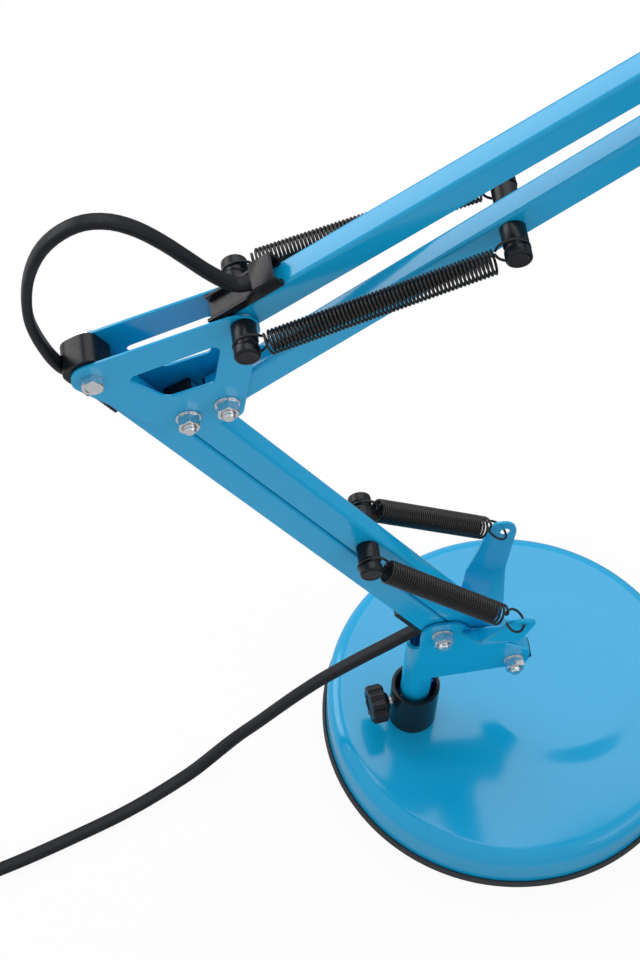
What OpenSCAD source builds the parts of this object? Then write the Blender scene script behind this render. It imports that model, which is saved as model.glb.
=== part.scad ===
// Spring-balanced desk lamp: weighted round base, swivel post, two-bar lower and upper
// arms, four springs, a bell shade and a flat twin flex with a plug.
// The origin is the centre of the base on the table, Z is up, and the arms lie along X.

/* [Base] */
// Outer radius of the rubber rim
base_r = 90; // [80:1:110]
// Height of the pressed cover's flat top
base_h = 26.5; // [20:0.5:34]
// Sheet thickness of the pressed cover
cover_t = 1.2; // [0.8:0.1:1.6]
// Radius of the cover's rounded shoulder
shoulder_r = 7.5; // [5:0.5:9]
// Height of the rubber rim
rim_h = 4.4; // [4:0.2:6]
// How far the rubber rim stands out from the cover
rim_lip = 1.8; // [1:0.2:2.4]
// Radius of the raised round field's foot
field_r = 48.3; // [40:0.1:52]
// Width of the raised field's sloping edge
field_slope = 10; // [6:0.5:14]
// Height of the raised field
field_h = 1.2; // [0.6:0.1:2]
// Radius of the cast weight
weight_r = 74; // [60:1:76]
// Thickness of the cast weight
weight_t = 13; // [8:0.5:15]

/* [Post and yoke] */
// Distance of the post from the base centre along X
post_off = 49.5; // [45:0.5:55]
// Distance of the post from the base centre along Y
post_side = 5.3; // [0:0.1:8]
// Outer radius of the rolled post
post_r = 7.1; // [6:0.1:8]
// Sheet thickness of the yoke
yoke_t = 1.3; // [1:0.1:1.6]
// Outer radius of the socket
socket_r = 11.3; // [10.8:0.1:13]
// Height of the socket above the base
socket_h = 28; // [24:0.5:34]
// Wall of the socket
socket_wall = 2.1; // [1.6:0.1:2.2]
// Outer radius of the thumb screw's knob
knob_r = 9.2; // [7:0.1:11]
// Thickness of the thumb screw's knob
knob_t = 7.5; // [6:0.5:10]
// How far an ear flares outward at its root
ear_flare = 50; // [42:1:55]
// How far its upper part leans outward from the upright
ear_lean = 12; // [8:1:16]

/* [Arms] */
// Pivot to pivot length of the lower bars
lower_len = 268.8; // [240:0.2:300]
// Angle of the lower bars above the table
lower_angle = 123.5; // [122:0.1:123.8]
// Pivot to pivot length of the upper bars
upper_len = 269; // [240:0.5:300]
// Angle of the boom, the lower bar of the upper arm
boom_angle = 41.8; // [38:0.1:44]
// Angle of the top bar
top_angle = 40.0; // [38:0.1:42]
// Width of a bar across the arm
bar_w = 10.2; // [9:0.2:11]
// Height of a bar
bar_h = 12.2; // [11.6:0.1:12.4]
// Sheet thickness of a bar
bar_t = 1; // [0.8:0.1:1.4]
// Distance between the two pivots of the lower arm
pair_gap = 46.2; // [45.6:0.1:48]
// Sheet thickness of the elbow and head plates
plate_t = 1.2; // [1:0.1:1.6]

/* [Springs and pegs] */
// Length of a peg beyond its bar or plate
peg_len = 14.3; // [13.5:0.1:16]
// Radius of a peg
peg_r = 4.8; // [4:0.1:5]
// Outer radius of an upper spring
upper_spring_r = 4.5; // [4:0.1:5]
// Turns of an upper spring in this model
upper_turns = 19; // [12:1:22]
// Outer radius of a lower spring
lower_spring_r = 5.3; // [4.8:0.1:5.6]
// Turns of a lower spring in this model
lower_turns = 12; // [8:1:14]
// Wire radius of the springs in this model
wire_r = 0.65; // [0.5:0.05:0.7]

/* [Fasteners] */
// Radius of a pivot bolt's shank
bolt_r = 2.5; // [2:0.1:2.6]
// Width of a nut or head across its flats
nut_af = 8; // [7:0.1:8.5]
// Thickness of a nut
nut_t = 4; // [3:0.1:5]
// Outer radius of a pivot bush
bush_r = 3.6; // [3.4:0.1:3.8]

/* [Shade] */
// Length of the knuckle from the tilt pivot to the neck
knuckle_len = 32; // [30:1:40]
// Radius of the shade's mouth
mouth_r = 72; // [60:1:76]
// Radius of the shade's neck
neck_r = 26; // [25:0.5:28]
// Length of the neck
neck_len = 46; // [40:1:56]
// Length of the bell below the neck
bell_len = 86; // [76:1:96]
// Wall of the shade
shade_t = 0.8; // [0.6:0.1:1.2]
// Radius of the bulb's glass
bulb_r = 27; // [22:0.5:30]

/* [Flex] */
// Width of the flat twin flex
flex_w = 6.3; // [6:0.1:6.6]
// Thickness of the flat twin flex
flex_t = 3.9; // [3.6:0.1:4]
// Turns of the flex that is put away
coil_turns = 6.25; // [4.25:1:6.25]

/* [Hidden] */
$fn = 48;

blue = "#4FA3D1";
black = "#26272B";
zinc = "#C9CCCE";

// Running clearance between a pin and its hole, and between faces that slide
clear = 0.1;
// Clearance between parts on different bodies that must never touch
gap = 0.3;

// Places of the arm pivots, as X and Z from the foot of the post
cheek_out = post_r;
cheek_in = cheek_out - yoke_t;
plate_in = 6.4;
plate_out = plate_in + plate_t;
pair_slope = -40;
front_foot = [6.8, 112.4];
rear_foot = front_foot + pair_gap * aim(pair_slope);
front_top = front_foot + lower_len * aim(lower_angle);
rear_top = front_top + pair_gap * aim(pair_slope);
boom_foot = front_top + 55.1 * aim(-24.5);
top_foot = front_top + 61.5 * aim(25.3);
boom_end = boom_foot + upper_len * aim(boom_angle);
top_end = top_foot + upper_len * aim(top_angle);
tilt_pin = boom_end + [54, 6];
lower_peg_at = 133;
boom_peg_at = 135;
lower_peg = rear_foot + lower_peg_at * aim(lower_angle);
boom_peg = boom_foot + boom_peg_at * aim(boom_angle);

// Ears of the yoke
ear_root = 113;
ear_hole = [37.3, 39.3];
ear_bend = 16.1;
ear_hole_r = 2.3;
ear_bend_y = cheek_out - yoke_t / 2 + ear_bend * sin(ear_flare);
ear_bend_z = ear_root + ear_bend * cos(ear_flare);
ear_y = ear_bend_y + (ear_hole.y - ear_bend) * sin(ear_lean);
ear_z = ear_bend_z + (ear_hole.y - ear_bend) * cos(ear_lean);

// Overhangs of the bars past their pivots, and the thickness of the caps on their ends
foot_over = 6.3;
rear_over = 4.9;
boom_over = 4.3;
front_over = 5.5;
top_over = 6;
head_over = 6;
cap_t = 1.2;

// Pegs: the stem ends in a groove for the spring's loop, then a thicker cap
stem_len = 0.56 * peg_len;
groove_len = 1.8;
groove_r = peg_r - 0.8;
groove_mid = stem_len + groove_len / 2;
elbow_groove_y = plate_out + groove_mid;
bar_groove_y = bar_w / 2 + groove_mid;

// Turns a direction in the arm's plane into X and Z
function aim(a) = [cos(a), sin(a)];
function unit(v) = v / norm(v);
function clamp(v, lo, hi) = min(max(v, lo), hi);

// Arc that rounds the corner at q, between p and s, with radius r
function corner(p, q, s, r, n = 5) =
    let (
        u = unit([p.x - q.x, p.y - q.y]),
        w = unit([s.x - q.x, s.y - q.y]),
        half = acos(clamp(u * w, -1, 1)) / 2,
        reach = r / tan(half),
        c = [q.x, q.y] + unit(u + w) * r / sin(half),
        a0 = atan2(q.y + u.y * reach - c.y, q.x + u.x * reach - c.x),
        a1 = atan2(q.y + w.y * reach - c.y, q.x + w.x * reach - c.x),
        turn = (a1 - a0 + 900) % 360 - 180
    )
    r <= 0 ? [[q.x, q.y]] : [for (i = [0:n]) c + r * aim(a0 + turn * i / n)];

// Outline whose corners are [x, y, radius]
function rounded(pts) =
    let (m = len(pts))
    [for (i = [0:m - 1]) each corner(pts[(i + m - 1) % m], pts[i], pts[(i + 1) % m], pts[i][2])];

// Outline at distance r round points that run anticlockwise
function band_round(pts, r, n = 8) =
    let (m = len(pts))
    [for (i = [0:m - 1])
        let (
            p = pts[(i + m - 1) % m],
            q = pts[i],
            s = pts[(i + 1) % m],
            a0 = atan2(-(q.x - p.x), q.y - p.y),
            a1 = atan2(-(s.x - q.x), s.y - q.y),
            turn = (a1 - a0 + 720) % 360
        )
        for (k = [0:n]) q + r * aim(a0 + turn * k / n)];

// Moves its children to the foot of the post, where the arm's plane is Y = 0
module at_post() {
    translate([-post_off, -post_side, 0]) children();
}

// Puts X along a bar that starts at p with angle a
module along(p, a) {
    at_post() translate([p.x, 0, p.y]) rotate([0, -a, 0]) children();
}

// Puts Z along +Y at p, as for a bolt through the arm
module across(p, y = 0) {
    at_post() translate([p.x, y, p.y]) rotate([-90, 0, 0]) children();
}

// Cylinder along Y in a bar's own frame, from y0 to y1
module y_rod(x, r, y0, y1) {
    translate([x, y0, 0]) rotate([-90, 0, 0]) cylinder(r = r, h = y1 - y0);
}

// Extrudes an outline in X and Z between two Y values
module slab(y0, y1) {
    translate([0, y1, 0]) rotate([90, 0, 0]) linear_extrude(y1 - y0) children();
}

// Sweeps and their frames
function tangent(path, i) =
    unit(path[min(i + 1, len(path) - 1)] - path[max(i - 1, 0)]);
function flatten(v, t) = unit(v - (v * t) * t);
// Sideways vectors carried along a path without twist
function carried(path, start) =
    [for (i = 0, v = flatten(start, tangent(path, 0)); i < len(path);
        i = i + 1, v = i < len(path) ? flatten(v, tangent(path, i)) : v) v];
// Sideways vectors of a flat flex that lies level
function level(path) =
    [for (i = [0:len(path) - 1]) let (t = tangent(path, i)) unit([-t.y, t.x, 0])];
// Sideways vectors nearest to one fixed direction
function facing(path, way) =
    [for (i = [0:len(path) - 1]) flatten(way, tangent(path, i))];

// Tube of half widths a and b along a path
module sweep(path, sides_v, a, b, sides = 6) {
    n = len(path);
    points = [for (i = [0:n - 1])
        let (t = tangent(path, i), u = sides_v[i], w = cross(t, u))
        for (k = [0:sides - 1])
            path[i] + a * cos(360 * (k + 0.5) / sides) * u + b * sin(360 * (k + 0.5) / sides) * w];
    walls = [for (i = [0:n - 2]) for (k = [0:sides - 1])
        let (p = i * sides + k, q = i * sides + (k + 1) % sides)
        each [[p, q + sides, q], [p, p + sides, q + sides]]];
    ends = [for (k = [1:sides - 2])
        each [[0, k, k + 1], [(n - 1) * sides, (n - 1) * sides + k + 1, (n - 1) * sides + k]]];
    polyhedron(points = points, faces = concat(walls, ends));
}

// Least gap of a tube of thickness d to itself, between points more than skip steps apart
function self_gap(path, skip, d) =
    min([for (i = [0:len(path) - 1 - skip]) for (j = [i + skip:len(path) - 1])
        norm(path[i] - path[j])]) - d;

// Base
module base_cover() {
    inner = base_r - rim_lip - cover_t;
    color(blue) difference() {
        union() {
            rotate_extrude($fn = 96) cover_section();
            translate([21.8, 5.4, base_h - 0.01])
                cylinder(r1 = field_r, r2 = field_r - field_slope, h = field_h, $fn = 96);
        }
        at_post() translate([0, 0, base_h - cover_t - 1]) cylinder(r = 3.2, h = cover_t + 3);
    }
    assert(inner > weight_r, "The weight fits inside the cover");
}

module cover_section() {
    out = base_r - rim_lip;
    foot = 2;
    polygon(concat(
        [[0, base_h - cover_t], [0, base_h]],
        [for (i = [0:8]) [out - shoulder_r, base_h - shoulder_r] + shoulder_r * aim(90 - i * 11.25)],
        [[out, foot], [out - cover_t, foot]],
        [for (i = [0:8])
            [out - shoulder_r, base_h - shoulder_r] + (shoulder_r - cover_t) * aim(i * 11.25)]
    ));
}

module base_rim() {
    seat_out = base_r - rim_lip;
    color("#3C4046") rotate_extrude($fn = 96) polygon([
        [seat_out - cover_t - 1.6, 0], [base_r - 0.6, 0], [base_r, 0.6], [base_r, rim_h - 1],
        [base_r - 1, rim_h], [seat_out, rim_h], [seat_out, 2], [seat_out - cover_t, 2],
        [seat_out - cover_t, rim_h - 1.4], [seat_out - cover_t - 1.6, rim_h - 1.4]
    ]);
}

module base_weight() {
    top = base_h - cover_t;
    color("#55585C") difference() {
        translate([0, 0, top - weight_t]) cylinder(r = weight_r, h = weight_t, $fn = 96);
        at_post() translate([0, 0, top - weight_t - 1]) cylinder(r = 3.2, h = weight_t + 2);
    }
}

module base_plate() {
    color("#55585C") difference() {
        translate([0, 0, 1.6]) cylinder(r = base_r - rim_lip - cover_t - 1.6, h = 0.8, $fn = 96);
        at_post() cylinder(r = 9, h = 5);
    }
}

module base_pad() {
    color("#2B2C2E") cylinder(r = base_r - rim_lip - cover_t - 2, h = 1.6, $fn = 96);
}

socket_floor = 5.5;
post_foot = base_h + socket_floor + gap;
module socket() {
    color(black) at_post() difference() {
        translate([0, 0, base_h]) cylinder(r = socket_r, h = socket_h);
        translate([0, 0, base_h + socket_floor]) cylinder(r = socket_r - socket_wall, h = socket_h);
        translate([0, 0, base_h + socket_h - 0.8])
            cylinder(r1 = socket_r - socket_wall, r2 = socket_r - socket_wall + 0.9, h = 0.9);
        translate([0, 0, base_h - 1]) cylinder(r = 3, h = socket_floor + 2);
        thumb_axis() cylinder(r = 2.1, h = 30);
    }
}

// The sleeve that centres the post, with a tongue that shows at the mouth of the socket
module swivel_bush() {
    out = socket_r - socket_wall;
    color("#1A2A90") at_post() difference() {
        translate([0, 0, base_h + socket_floor]) union() {
            cylinder(r = out, h = 6);
            intersection() {
                cylinder(r = out, h = socket_h - socket_floor - 2.4);
                rotate([0, 0, 12]) cube([2 * out, 2 * out, socket_h]);
                rotate([0, 0, -26]) cube([2 * out, 2 * out, socket_h]);
            }
        }
        translate([0, 0, base_h]) cylinder(r = post_r + clear, h = 2 * socket_h);
    }
}

bolt_head_z = base_h - cover_t - weight_t;
module socket_bolt() {
    color(zinc) at_post() {
        translate([0, 0, bolt_head_z - 4]) cylinder(r = 5 / cos(30), h = 4, $fn = 6);
        translate([0, 0, bolt_head_z - 0.01])
            cylinder(r = 3, h = weight_t + cover_t + socket_floor - 0.5);
    }
}

// Thumb screw
thumb_z = base_h + 17;
thumb_turn = 188;
knob_near = socket_r + 3.2;
module thumb_axis() {
    translate([0, 0, thumb_z]) rotate([0, 90, thumb_turn]) children();
}

module thumb_knob() {
    color(black) at_post() thumb_axis() difference() {
        union() {
            translate([0, 0, knob_near]) cylinder(r = knob_r, h = knob_t);
            translate([0, 0, knob_near - 1.6]) cylinder(r = 4.4, h = 2);
        }
        for (i = [0:9]) rotate(i * 36) translate([knob_r + 1.2, 0, knob_near - 1])
            cylinder(r = 2.1, h = knob_t + 2, $fn = 24);
        translate([0, 0, knob_near - 2]) cylinder(r = 2, h = 5);
    }
}

module thumb_stud() {
    color(zinc) at_post() thumb_axis() translate([0, 0, post_r + clear])
        cylinder(r = 2, h = knob_near + 3 - post_r - clear);
}

// Frame of an ear's upper part, from its bend
module ear_tip(s) {
    translate([0, s * ear_bend_y, ear_bend_z]) rotate([-s * ear_lean, 0, 0]) children();
}

// Yoke
module yoke() {
    wrap_top = 97;
    fold_z = 73;
    cheek = rounded([
        [-9, 71, 0], [-9, wrap_top - 3, 0], [-2.6, wrap_top + 4, 0.5], [-2.6, 122, 8.4],
        [14, 122, 9], [20, ear_root + 1, 4], [36.7, ear_root + 1, 0.2], [36.7, 98, 1.5],
        [49.2, 89.5, 3.5], [49.2, 77.5, 5.5], [40, 76.4, 6], [8.8, 73.2, 1]
    ]);
    ear_root_shape = [[15, -0.7], [36.7, -0.7], [38.8, ear_bend], [20.8, ear_bend]];
    hole_up = ear_hole.y - ear_bend;
    ear_tip_shape = rounded([
        [20.8, 0, 0], [38.8, 0, 0], [ear_hole.x + 6.2, hole_up + 6.8, 5.8],
        [ear_hole.x - 6.8, hole_up + 5.6, 5.4], [25.5, 12, 16]
    ]);
    color(blue) at_post() difference() {
        union() {
            translate([0, 0, post_foot]) cylinder(r = post_r, h = fold_z - post_foot);
            intersection() {
                translate([0, 0, 60]) linear_extrude(70) union() {
                    circle(r = post_r);
                    translate([0, -post_r]) square([60, 2 * post_r]);
                }
                slab(-20, 20) polygon(cheek);
            }
            for (s = [-1, 1]) {
                translate([0, s * (cheek_out - yoke_t / 2), ear_root]) rotate([-s * ear_flare, 0, 0])
                    slab(-yoke_t / 2, yoke_t / 2) polygon(ear_root_shape);
                translate([20.9, s * ear_bend_y, ear_bend_z]) rotate([0, 90, 0])
                    cylinder(r = yoke_t / 2 + 0.08, h = 17.8, $fn = 24);
                ear_tip(s) slab(-yoke_t / 2, yoke_t / 2) polygon(ear_tip_shape);
            }
        }
        translate([0, 0, post_foot - 1]) cylinder(r = cheek_in, h = 100);
        translate([0, -cheek_in, fold_z]) cube([80, 2 * cheek_in, 60]);
        translate([0, -0.6, post_foot - 1]) cube([2 * post_r, 1.2, 60]);
        for (p = [front_foot, rear_foot])
            translate([p.x, -20, p.y]) rotate([-90, 0, 0]) cylinder(r = bolt_r + clear, h = 40);
        for (s = [-1, 1])
            ear_tip(s) translate([ear_hole.x, -5, hole_up]) rotate([-90, 0, 0])
                cylinder(r = ear_hole_r, h = 10);
    }
}

// Pivot bolts: side 1 has the head on the far side and the nut on the near side
module bolt(p, seat, side = 1) {
    across(p) mirror([0, 0, side < 0 ? 1 : 0]) {
        translate([0, 0, seat]) cylinder(r = nut_af / 2 / cos(30), h = 3.5, $fn = 6);
        translate([0, 0, -seat - 7]) cylinder(r = bolt_r, h = 2 * seat + 7.01);
    }
}

module nut(p, seat, side = 1) {
    across(p) mirror([0, 0, side < 0 ? 1 : 0]) difference() {
        union() {
            translate([0, 0, -seat - 1]) cylinder(r = 4.9, h = 1);
            translate([0, 0, -seat - 1 - nut_t])
                cylinder(r = nut_af / 2 / cos(30), h = nut_t + 0.01, $fn = 6);
        }
        translate([0, 0, -seat - 10]) cylinder(r = bolt_r, h = 12);
    }
}

module yoke_bolts() {
    color(zinc) for (p = [front_foot, rear_foot]) bolt(p, cheek_out);
}

module yoke_nuts() {
    color(zinc) for (p = [front_foot, rear_foot]) nut(p, cheek_out);
}

// Bars: a folded channel whose open side faces open times Z of the bar's own frame
module channel(p, a, length, over0, over1, open, hole0, hole1) {
    w = bar_w / 2;
    h = bar_h / 2;
    section = rounded([
        [-w, -h, 0], [-w, h, 1.6], [w, h, 1.6], [w, -h, 0],
        [w - bar_t, -h, 0], [w - bar_t, h - bar_t, 0.7],
        [-w + bar_t, h - bar_t, 0.7], [-w + bar_t, -h, 0]
    ]);
    color(blue) along(p, a) difference() {
        mirror([0, 0, open > 0 ? 1 : 0]) translate([-over0, 0, 0]) rotate([90, 0, 90])
            linear_extrude(length + over0 + over1) polygon(section);
        y_rod(0, hole0, -20, 20);
        y_rod(length, hole1, -20, 20);
        children();
    }
}

// Bush through a bar, from face to face of what holds it
module bush(p, a, x, reach, bore, r = bush_r) {
    along(p, a) difference() {
        y_rod(x, r, -reach, reach);
        y_rod(x, bore, -reach - 1, reach + 1);
    }
}

// Plug that closes the end of a bar, at x, facing way, cut clear of the bush at pivot
module end_cap(p, a, x, way, pivot = 0, bush = bush_r) {
    w = bar_w / 2;
    h = bar_h / 2;
    deep = 2.2;
    slack = 0.25;
    along(p, a) difference() {
        translate([x, 0, 0]) mirror([way < 0 ? 1 : 0, 0, 0]) {
            rotate([90, 0, 90]) linear_extrude(cap_t)
                polygon(rounded([[-w, -h, 1], [w, -h, 1], [w, h, 1.6], [-w, h, 1.6]]));
            translate([-deep, -w + bar_t + slack, -h + bar_t + slack])
                cube([deep + 0.1, 2 * (w - bar_t - slack), 2 * (h - bar_t - slack)]);
        }
        y_rod(pivot, bush + 0.02, -bar_w, bar_w);
    }
}

module front_bar() {
    channel(front_foot, lower_angle, lower_len, foot_over, front_over, 1, bush_r, bush_r);
}

module front_bar_bushes() {
    color("#D8D8D4") {
        bush(front_foot, lower_angle, 0, cheek_in - clear, bolt_r + clear);
        bush(front_foot, lower_angle, lower_len, plate_in - clear, bolt_r + clear);
    }
}

// Insert in the open side of the bar's foot, with the hole that the flex leaves by
grommet_low = -5.5;
grommet_len = 33.5;
grommet_t = 2.4;
lead_place = 2;
module front_bar_grommet() {
    w = bar_w / 2 - bar_t - 0.05;
    h = bar_h / 2;
    core = bush_r + 0.4;
    color(black) along(front_foot, lower_angle) difference() {
        union() {
            translate([grommet_low, -bar_w / 2, h]) cube([grommet_len, bar_w, grommet_t]);
            translate([core, -w, 0.5]) cube([grommet_low + grommet_len - core - 1, 2 * w, h]);
        }
        translate([core + 1.6, -w + 1, -1]) cube([grommet_len, 2 * w - 2, h]);
        translate([lead_place - flex_t / 2 - 0.15, -flex_w / 2 - 0.15, h + 0.2])
            cube([flex_t + 0.3, flex_w + 0.3, 2 * grommet_t]);
    }
}

// Cap on the bar's top end, with the hole that the flex leaves by and a lip down the open side
cap_half = 7.9;
cap_reach = 11;
cap_exit = front_top + [-5.04, -1.95];
cap_turn = front_top + [-7.84, -2.35];
cap_exit_aim = 165;
cap_turn_aim = 126;
// Slot for the flex that starts at p and runs in the direction a
module slot_from(p, a) {
    at_post() translate([p.x, 0, p.y]) rotate([0, -a, 0])
        translate([-0.1, -flex_w / 2 - gap, -flex_t / 2 - gap])
            cube([25, flex_w + 2 * gap, flex_t + 2 * gap]);
}

module front_bar_cap() {
    w = plate_in - 0.15;
    h = bar_h / 2;
    body = rounded([
        [-3, -cap_half, 1], [cap_reach, -cap_half, 5], [cap_reach, cap_half, 5.5], [-9, cap_half, 1],
        [-9, h - 1, 0], [-3, h - 1, 0]
    ]);
    color(black) difference() {
        along(front_foot, lower_angle) translate([lower_len, 0, 0]) difference() {
            union() {
                slab(-w, w) polygon(body);
                translate([-26, -w + 1.2, h]) cube([18, 2 * w - 2.4, 1.4]);
            }
            translate([-30, -bar_w / 2 - 0.02, -h - 0.02])
                cube([30.02 + front_over, bar_w + 0.04, bar_h + 0.04]);
            y_rod(0, bush_r + 0.02, -bar_w, bar_w);
        }
        slot_from(cap_exit, cap_exit_aim);
        slot_from(cap_turn, cap_turn_aim);
    }
}

// Height of the flex inside a bar, against the inside of its closed side
inner_flex_z = bar_h / 2 - bar_t - flex_t / 2 - gap;
module flex_in_front_bar() {
    start = grommet_low + grommet_len + 1;
    color("#30323A") along(front_foot, lower_angle) translate([start, 0, -inner_flex_z])
        rotate([90, 0, 90]) linear_extrude(lower_len - start - 12) flex_section();
}

module flex_section() {
    core = (flex_w - flex_t) / 2;
    union() {
        for (s = [-1, 1]) translate([s * core, 0]) circle(r = flex_t / 2, $fn = 24);
        translate([-core, -flex_t / 2]) square([2 * core, flex_t]);
    }
}

module rear_bar() {
    spigot = peg_r - 1.8;
    channel(rear_foot, lower_angle, lower_len, foot_over, rear_over, 1, bush_r, bush_r)
        y_rod(lower_peg_at, spigot, -20, 20);
}

module rear_bar_caps() {
    color(black) {
        end_cap(rear_foot, lower_angle, -foot_over, -1);
        end_cap(rear_foot, lower_angle, lower_len + rear_over, 1, lower_len);
    }
}

module rear_bar_bushes() {
    color("#D8D8D4") {
        bush(rear_foot, lower_angle, 0, cheek_in - clear, bolt_r + clear);
        bush(rear_foot, lower_angle, lower_len, plate_in - clear, bolt_r + gap);
    }
}

// Peg that stands out of a face at y, with a spigot through the face
module peg(y, spigot_r, spigot_len, bore = 0) {
    difference() {
        union() {
            translate([0, 0, y - spigot_len]) cylinder(r = spigot_r, h = spigot_len + 1);
            translate([0, 0, y]) cylinder(r = peg_r, h = stem_len);
            translate([0, 0, y]) cylinder(r = groove_r, h = peg_len - 1);
            translate([0, 0, y + stem_len + groove_len])
                cylinder(r = peg_r + 0.15, h = peg_len - stem_len - groove_len - 0.8);
            translate([0, 0, y + peg_len - 0.81])
                cylinder(r1 = peg_r + 0.15, r2 = peg_r - 1.2, h = 0.81);
        }
        if (bore > 0) translate([0, 0, y - 5]) cylinder(r = bore, h = 10);
    }
}

module pegs(p, y, spigot_r, spigot_len, bore = 0) {
    color(black) for (s = [0, 1]) across(p) mirror([0, 0, s]) peg(y, spigot_r, spigot_len, bore);
}

module lower_pegs() {
    pegs(lower_peg, bar_w / 2, peg_r - 1.8, bar_t + 1.5);
}

module boom_pegs() {
    pegs(boom_peg, bar_w / 2, peg_r - 1.8, bar_t + 1.5);
}

module elbow_pegs() {
    pegs(top_foot, plate_out, peg_r, 0, bolt_r);
}

// Elbow plates
module elbow_plate(y0) {
    outline = rounded([
        [-7.6, 6.7, 7.4], [63.4, 37.2, 8.6], [56.4, -31.5, 4.8], [31.8, -42.6, 7.6], [-7.6, -3.2, 7.2]
    ]);
    window = rounded([[12.2, -0.9, 2.6], [47.8, 16, 2.6], [45.4, -8.4, 2.6], [27.9, -15.4, 4.5]]);
    color(blue) at_post() translate([front_top.x, 0, front_top.y]) difference() {
        slab(y0, y0 + plate_t) polygon(outline);
        slab(y0 - 1, y0 + plate_t + 1) polygon(window);
        for (p = [front_top, rear_top, boom_foot, top_foot])
            translate([p.x - front_top.x, y0 - 1, p.y - front_top.y]) rotate([-90, 0, 0])
                cylinder(r = bolt_r + clear, h = plate_t + 2);
    }
}

module elbow_plate_near() {
    elbow_plate(-plate_out);
}

module elbow_plate_far() {
    elbow_plate(plate_in);
}

module elbow_bolts() {
    color(zinc) {
        bolt(front_top, plate_out, -1);
        bolt(rear_top, plate_out);
        bolt(boom_foot, plate_out);
        across(top_foot, -plate_out - 4.5) cylinder(r = bolt_r, h = 2 * plate_out + 9);
    }
}

module elbow_nuts() {
    color(zinc) {
        nut(front_top, plate_out, -1);
        nut(rear_top, plate_out);
        nut(boom_foot, plate_out);
    }
}

// Upper arm
module boom() {
    spigot = peg_r - 1.8;
    channel(boom_foot, boom_angle, upper_len, boom_over, head_over, -1, bush_r, bush_r)
        y_rod(boom_peg_at, spigot, -20, 20);
}

module boom_caps() {
    color(black) {
        end_cap(boom_foot, boom_angle, -boom_over, -1);
        end_cap(boom_foot, boom_angle, upper_len + head_over, 1, upper_len);
    }
}

module boom_bushes() {
    color("#D8D8D4") {
        bush(boom_foot, boom_angle, 0, plate_in - clear, bolt_r + clear);
        bush(boom_foot, boom_angle, upper_len, plate_in - clear, bolt_r + clear);
    }
}

module top_bar() {
    channel(top_foot, top_angle, upper_len, top_over, head_over, -1, bush_r, bush_r + 1);
}

// The far pivot of the top bar runs with play, because its link closes the linkage
open_pivot_play = 1.05;
module top_bar_bushes() {
    color("#D8D8D4") {
        bush(top_foot, top_angle, 0, plate_in - clear, bolt_r + clear);
        bush(top_foot, top_angle, upper_len, plate_in - clear, bolt_r + open_pivot_play, bush_r + 1);
    }
}

// Tray and hood that lead the flex into the top bar's foot
tray_start = -8.4;
tray_end = 24.4;
hood_start = 13.8;
hood_top = 12.6;
tray_floor = bar_h / 2 + 1.3;
module top_bar_holder() {
    w = 5.85;
    h = bar_h / 2;
    color(black) along(top_foot, top_angle) difference() {
        union() {
            translate([tray_start, -w, h]) cube([tray_end - tray_start, 2 * w, 3.6]);
            slab(-w, w) polygon(rounded([
                [hood_start, h + 0.5, 0], [tray_end, h + 0.5, 0], [tray_end, hood_top, 1],
                [hood_start, hood_top, 1]
            ]));
            translate([tray_start, -w, -h + 1.2]) cube([-top_over - tray_start, 2 * w, bar_h]);
        }
        translate([tray_start - 1, -w + 1.2, tray_floor]) cube([40, 2 * w - 2.4, 4.6]);
        translate([tray_start - 1, -w - 1, hood_top - 2.6]) cube([hood_start - tray_start + 1, 20, 9]);
        translate([tray_start + 26, -flex_w / 2 - 0.4, 0]) cube([20, flex_w + 0.8, h + 4]);
        translate([-top_over - 0.02, -bar_w / 2 - 0.02, -20]) cube([60, bar_w + 0.04, 20 + h + 0.02]);
    }
}

module top_bar_cap() {
    color(black) end_cap(top_foot, top_angle, upper_len + head_over, 1, upper_len, bush_r + 1);
}

module flex_in_top_bar() {
    color("#30323A") along(top_foot, top_angle) translate([12, 0, inner_flex_z])
        rotate([90, 0, 90]) linear_extrude(upper_len - 24) flex_section();
}

// Springs: an open loop round the peg, the coil, and an open loop at the far end
coil_rings = 8;
// Open loop of radius r about c: it starts behind c, seen along d, and turns towards side
function open_loop(c, d, side, r, a0, a1, n) =
    [for (i = [0:n]) let (a = a0 + (a1 - a0) * i / n) c + r * (cos(a) * d + sin(a) * side)];
function spring_path(a, b, mean_r, turns, lead_a, lead_b, hook_r, loop_b, aside = [0, 0, 0]) =
    let (
        d = unit(b - a),
        side = flatten([0, 0, 1], d),
        wing = cross(d, side),
        start = a + lead_a * d + aside,
        body = norm(b - a) - lead_a - lead_b,
        steps = turns * coil_rings,
        coil = [for (i = [0:steps])
            start + d * body * i / steps + mean_r * (cos(i * 360 / coil_rings) * side
                + sin(i * 360 / coil_rings) * wing)],
        flat = unit([d.x, 0, d.z])
    )
    concat(open_loop(a, flat, [-flat.z, 0, flat.x], hook_r, 205, 40, 8), coil, loop_b);

module spring(path) {
    color(black) at_post() sweep(path, carried(path, [0, 1, 0.3]), wire_r, wire_r);
}

upper_mean = upper_spring_r - wire_r;
lower_mean = lower_spring_r - wire_r;
hook_r = groove_r + wire_r + gap;
ear_loop_r = 5.2;
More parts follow.
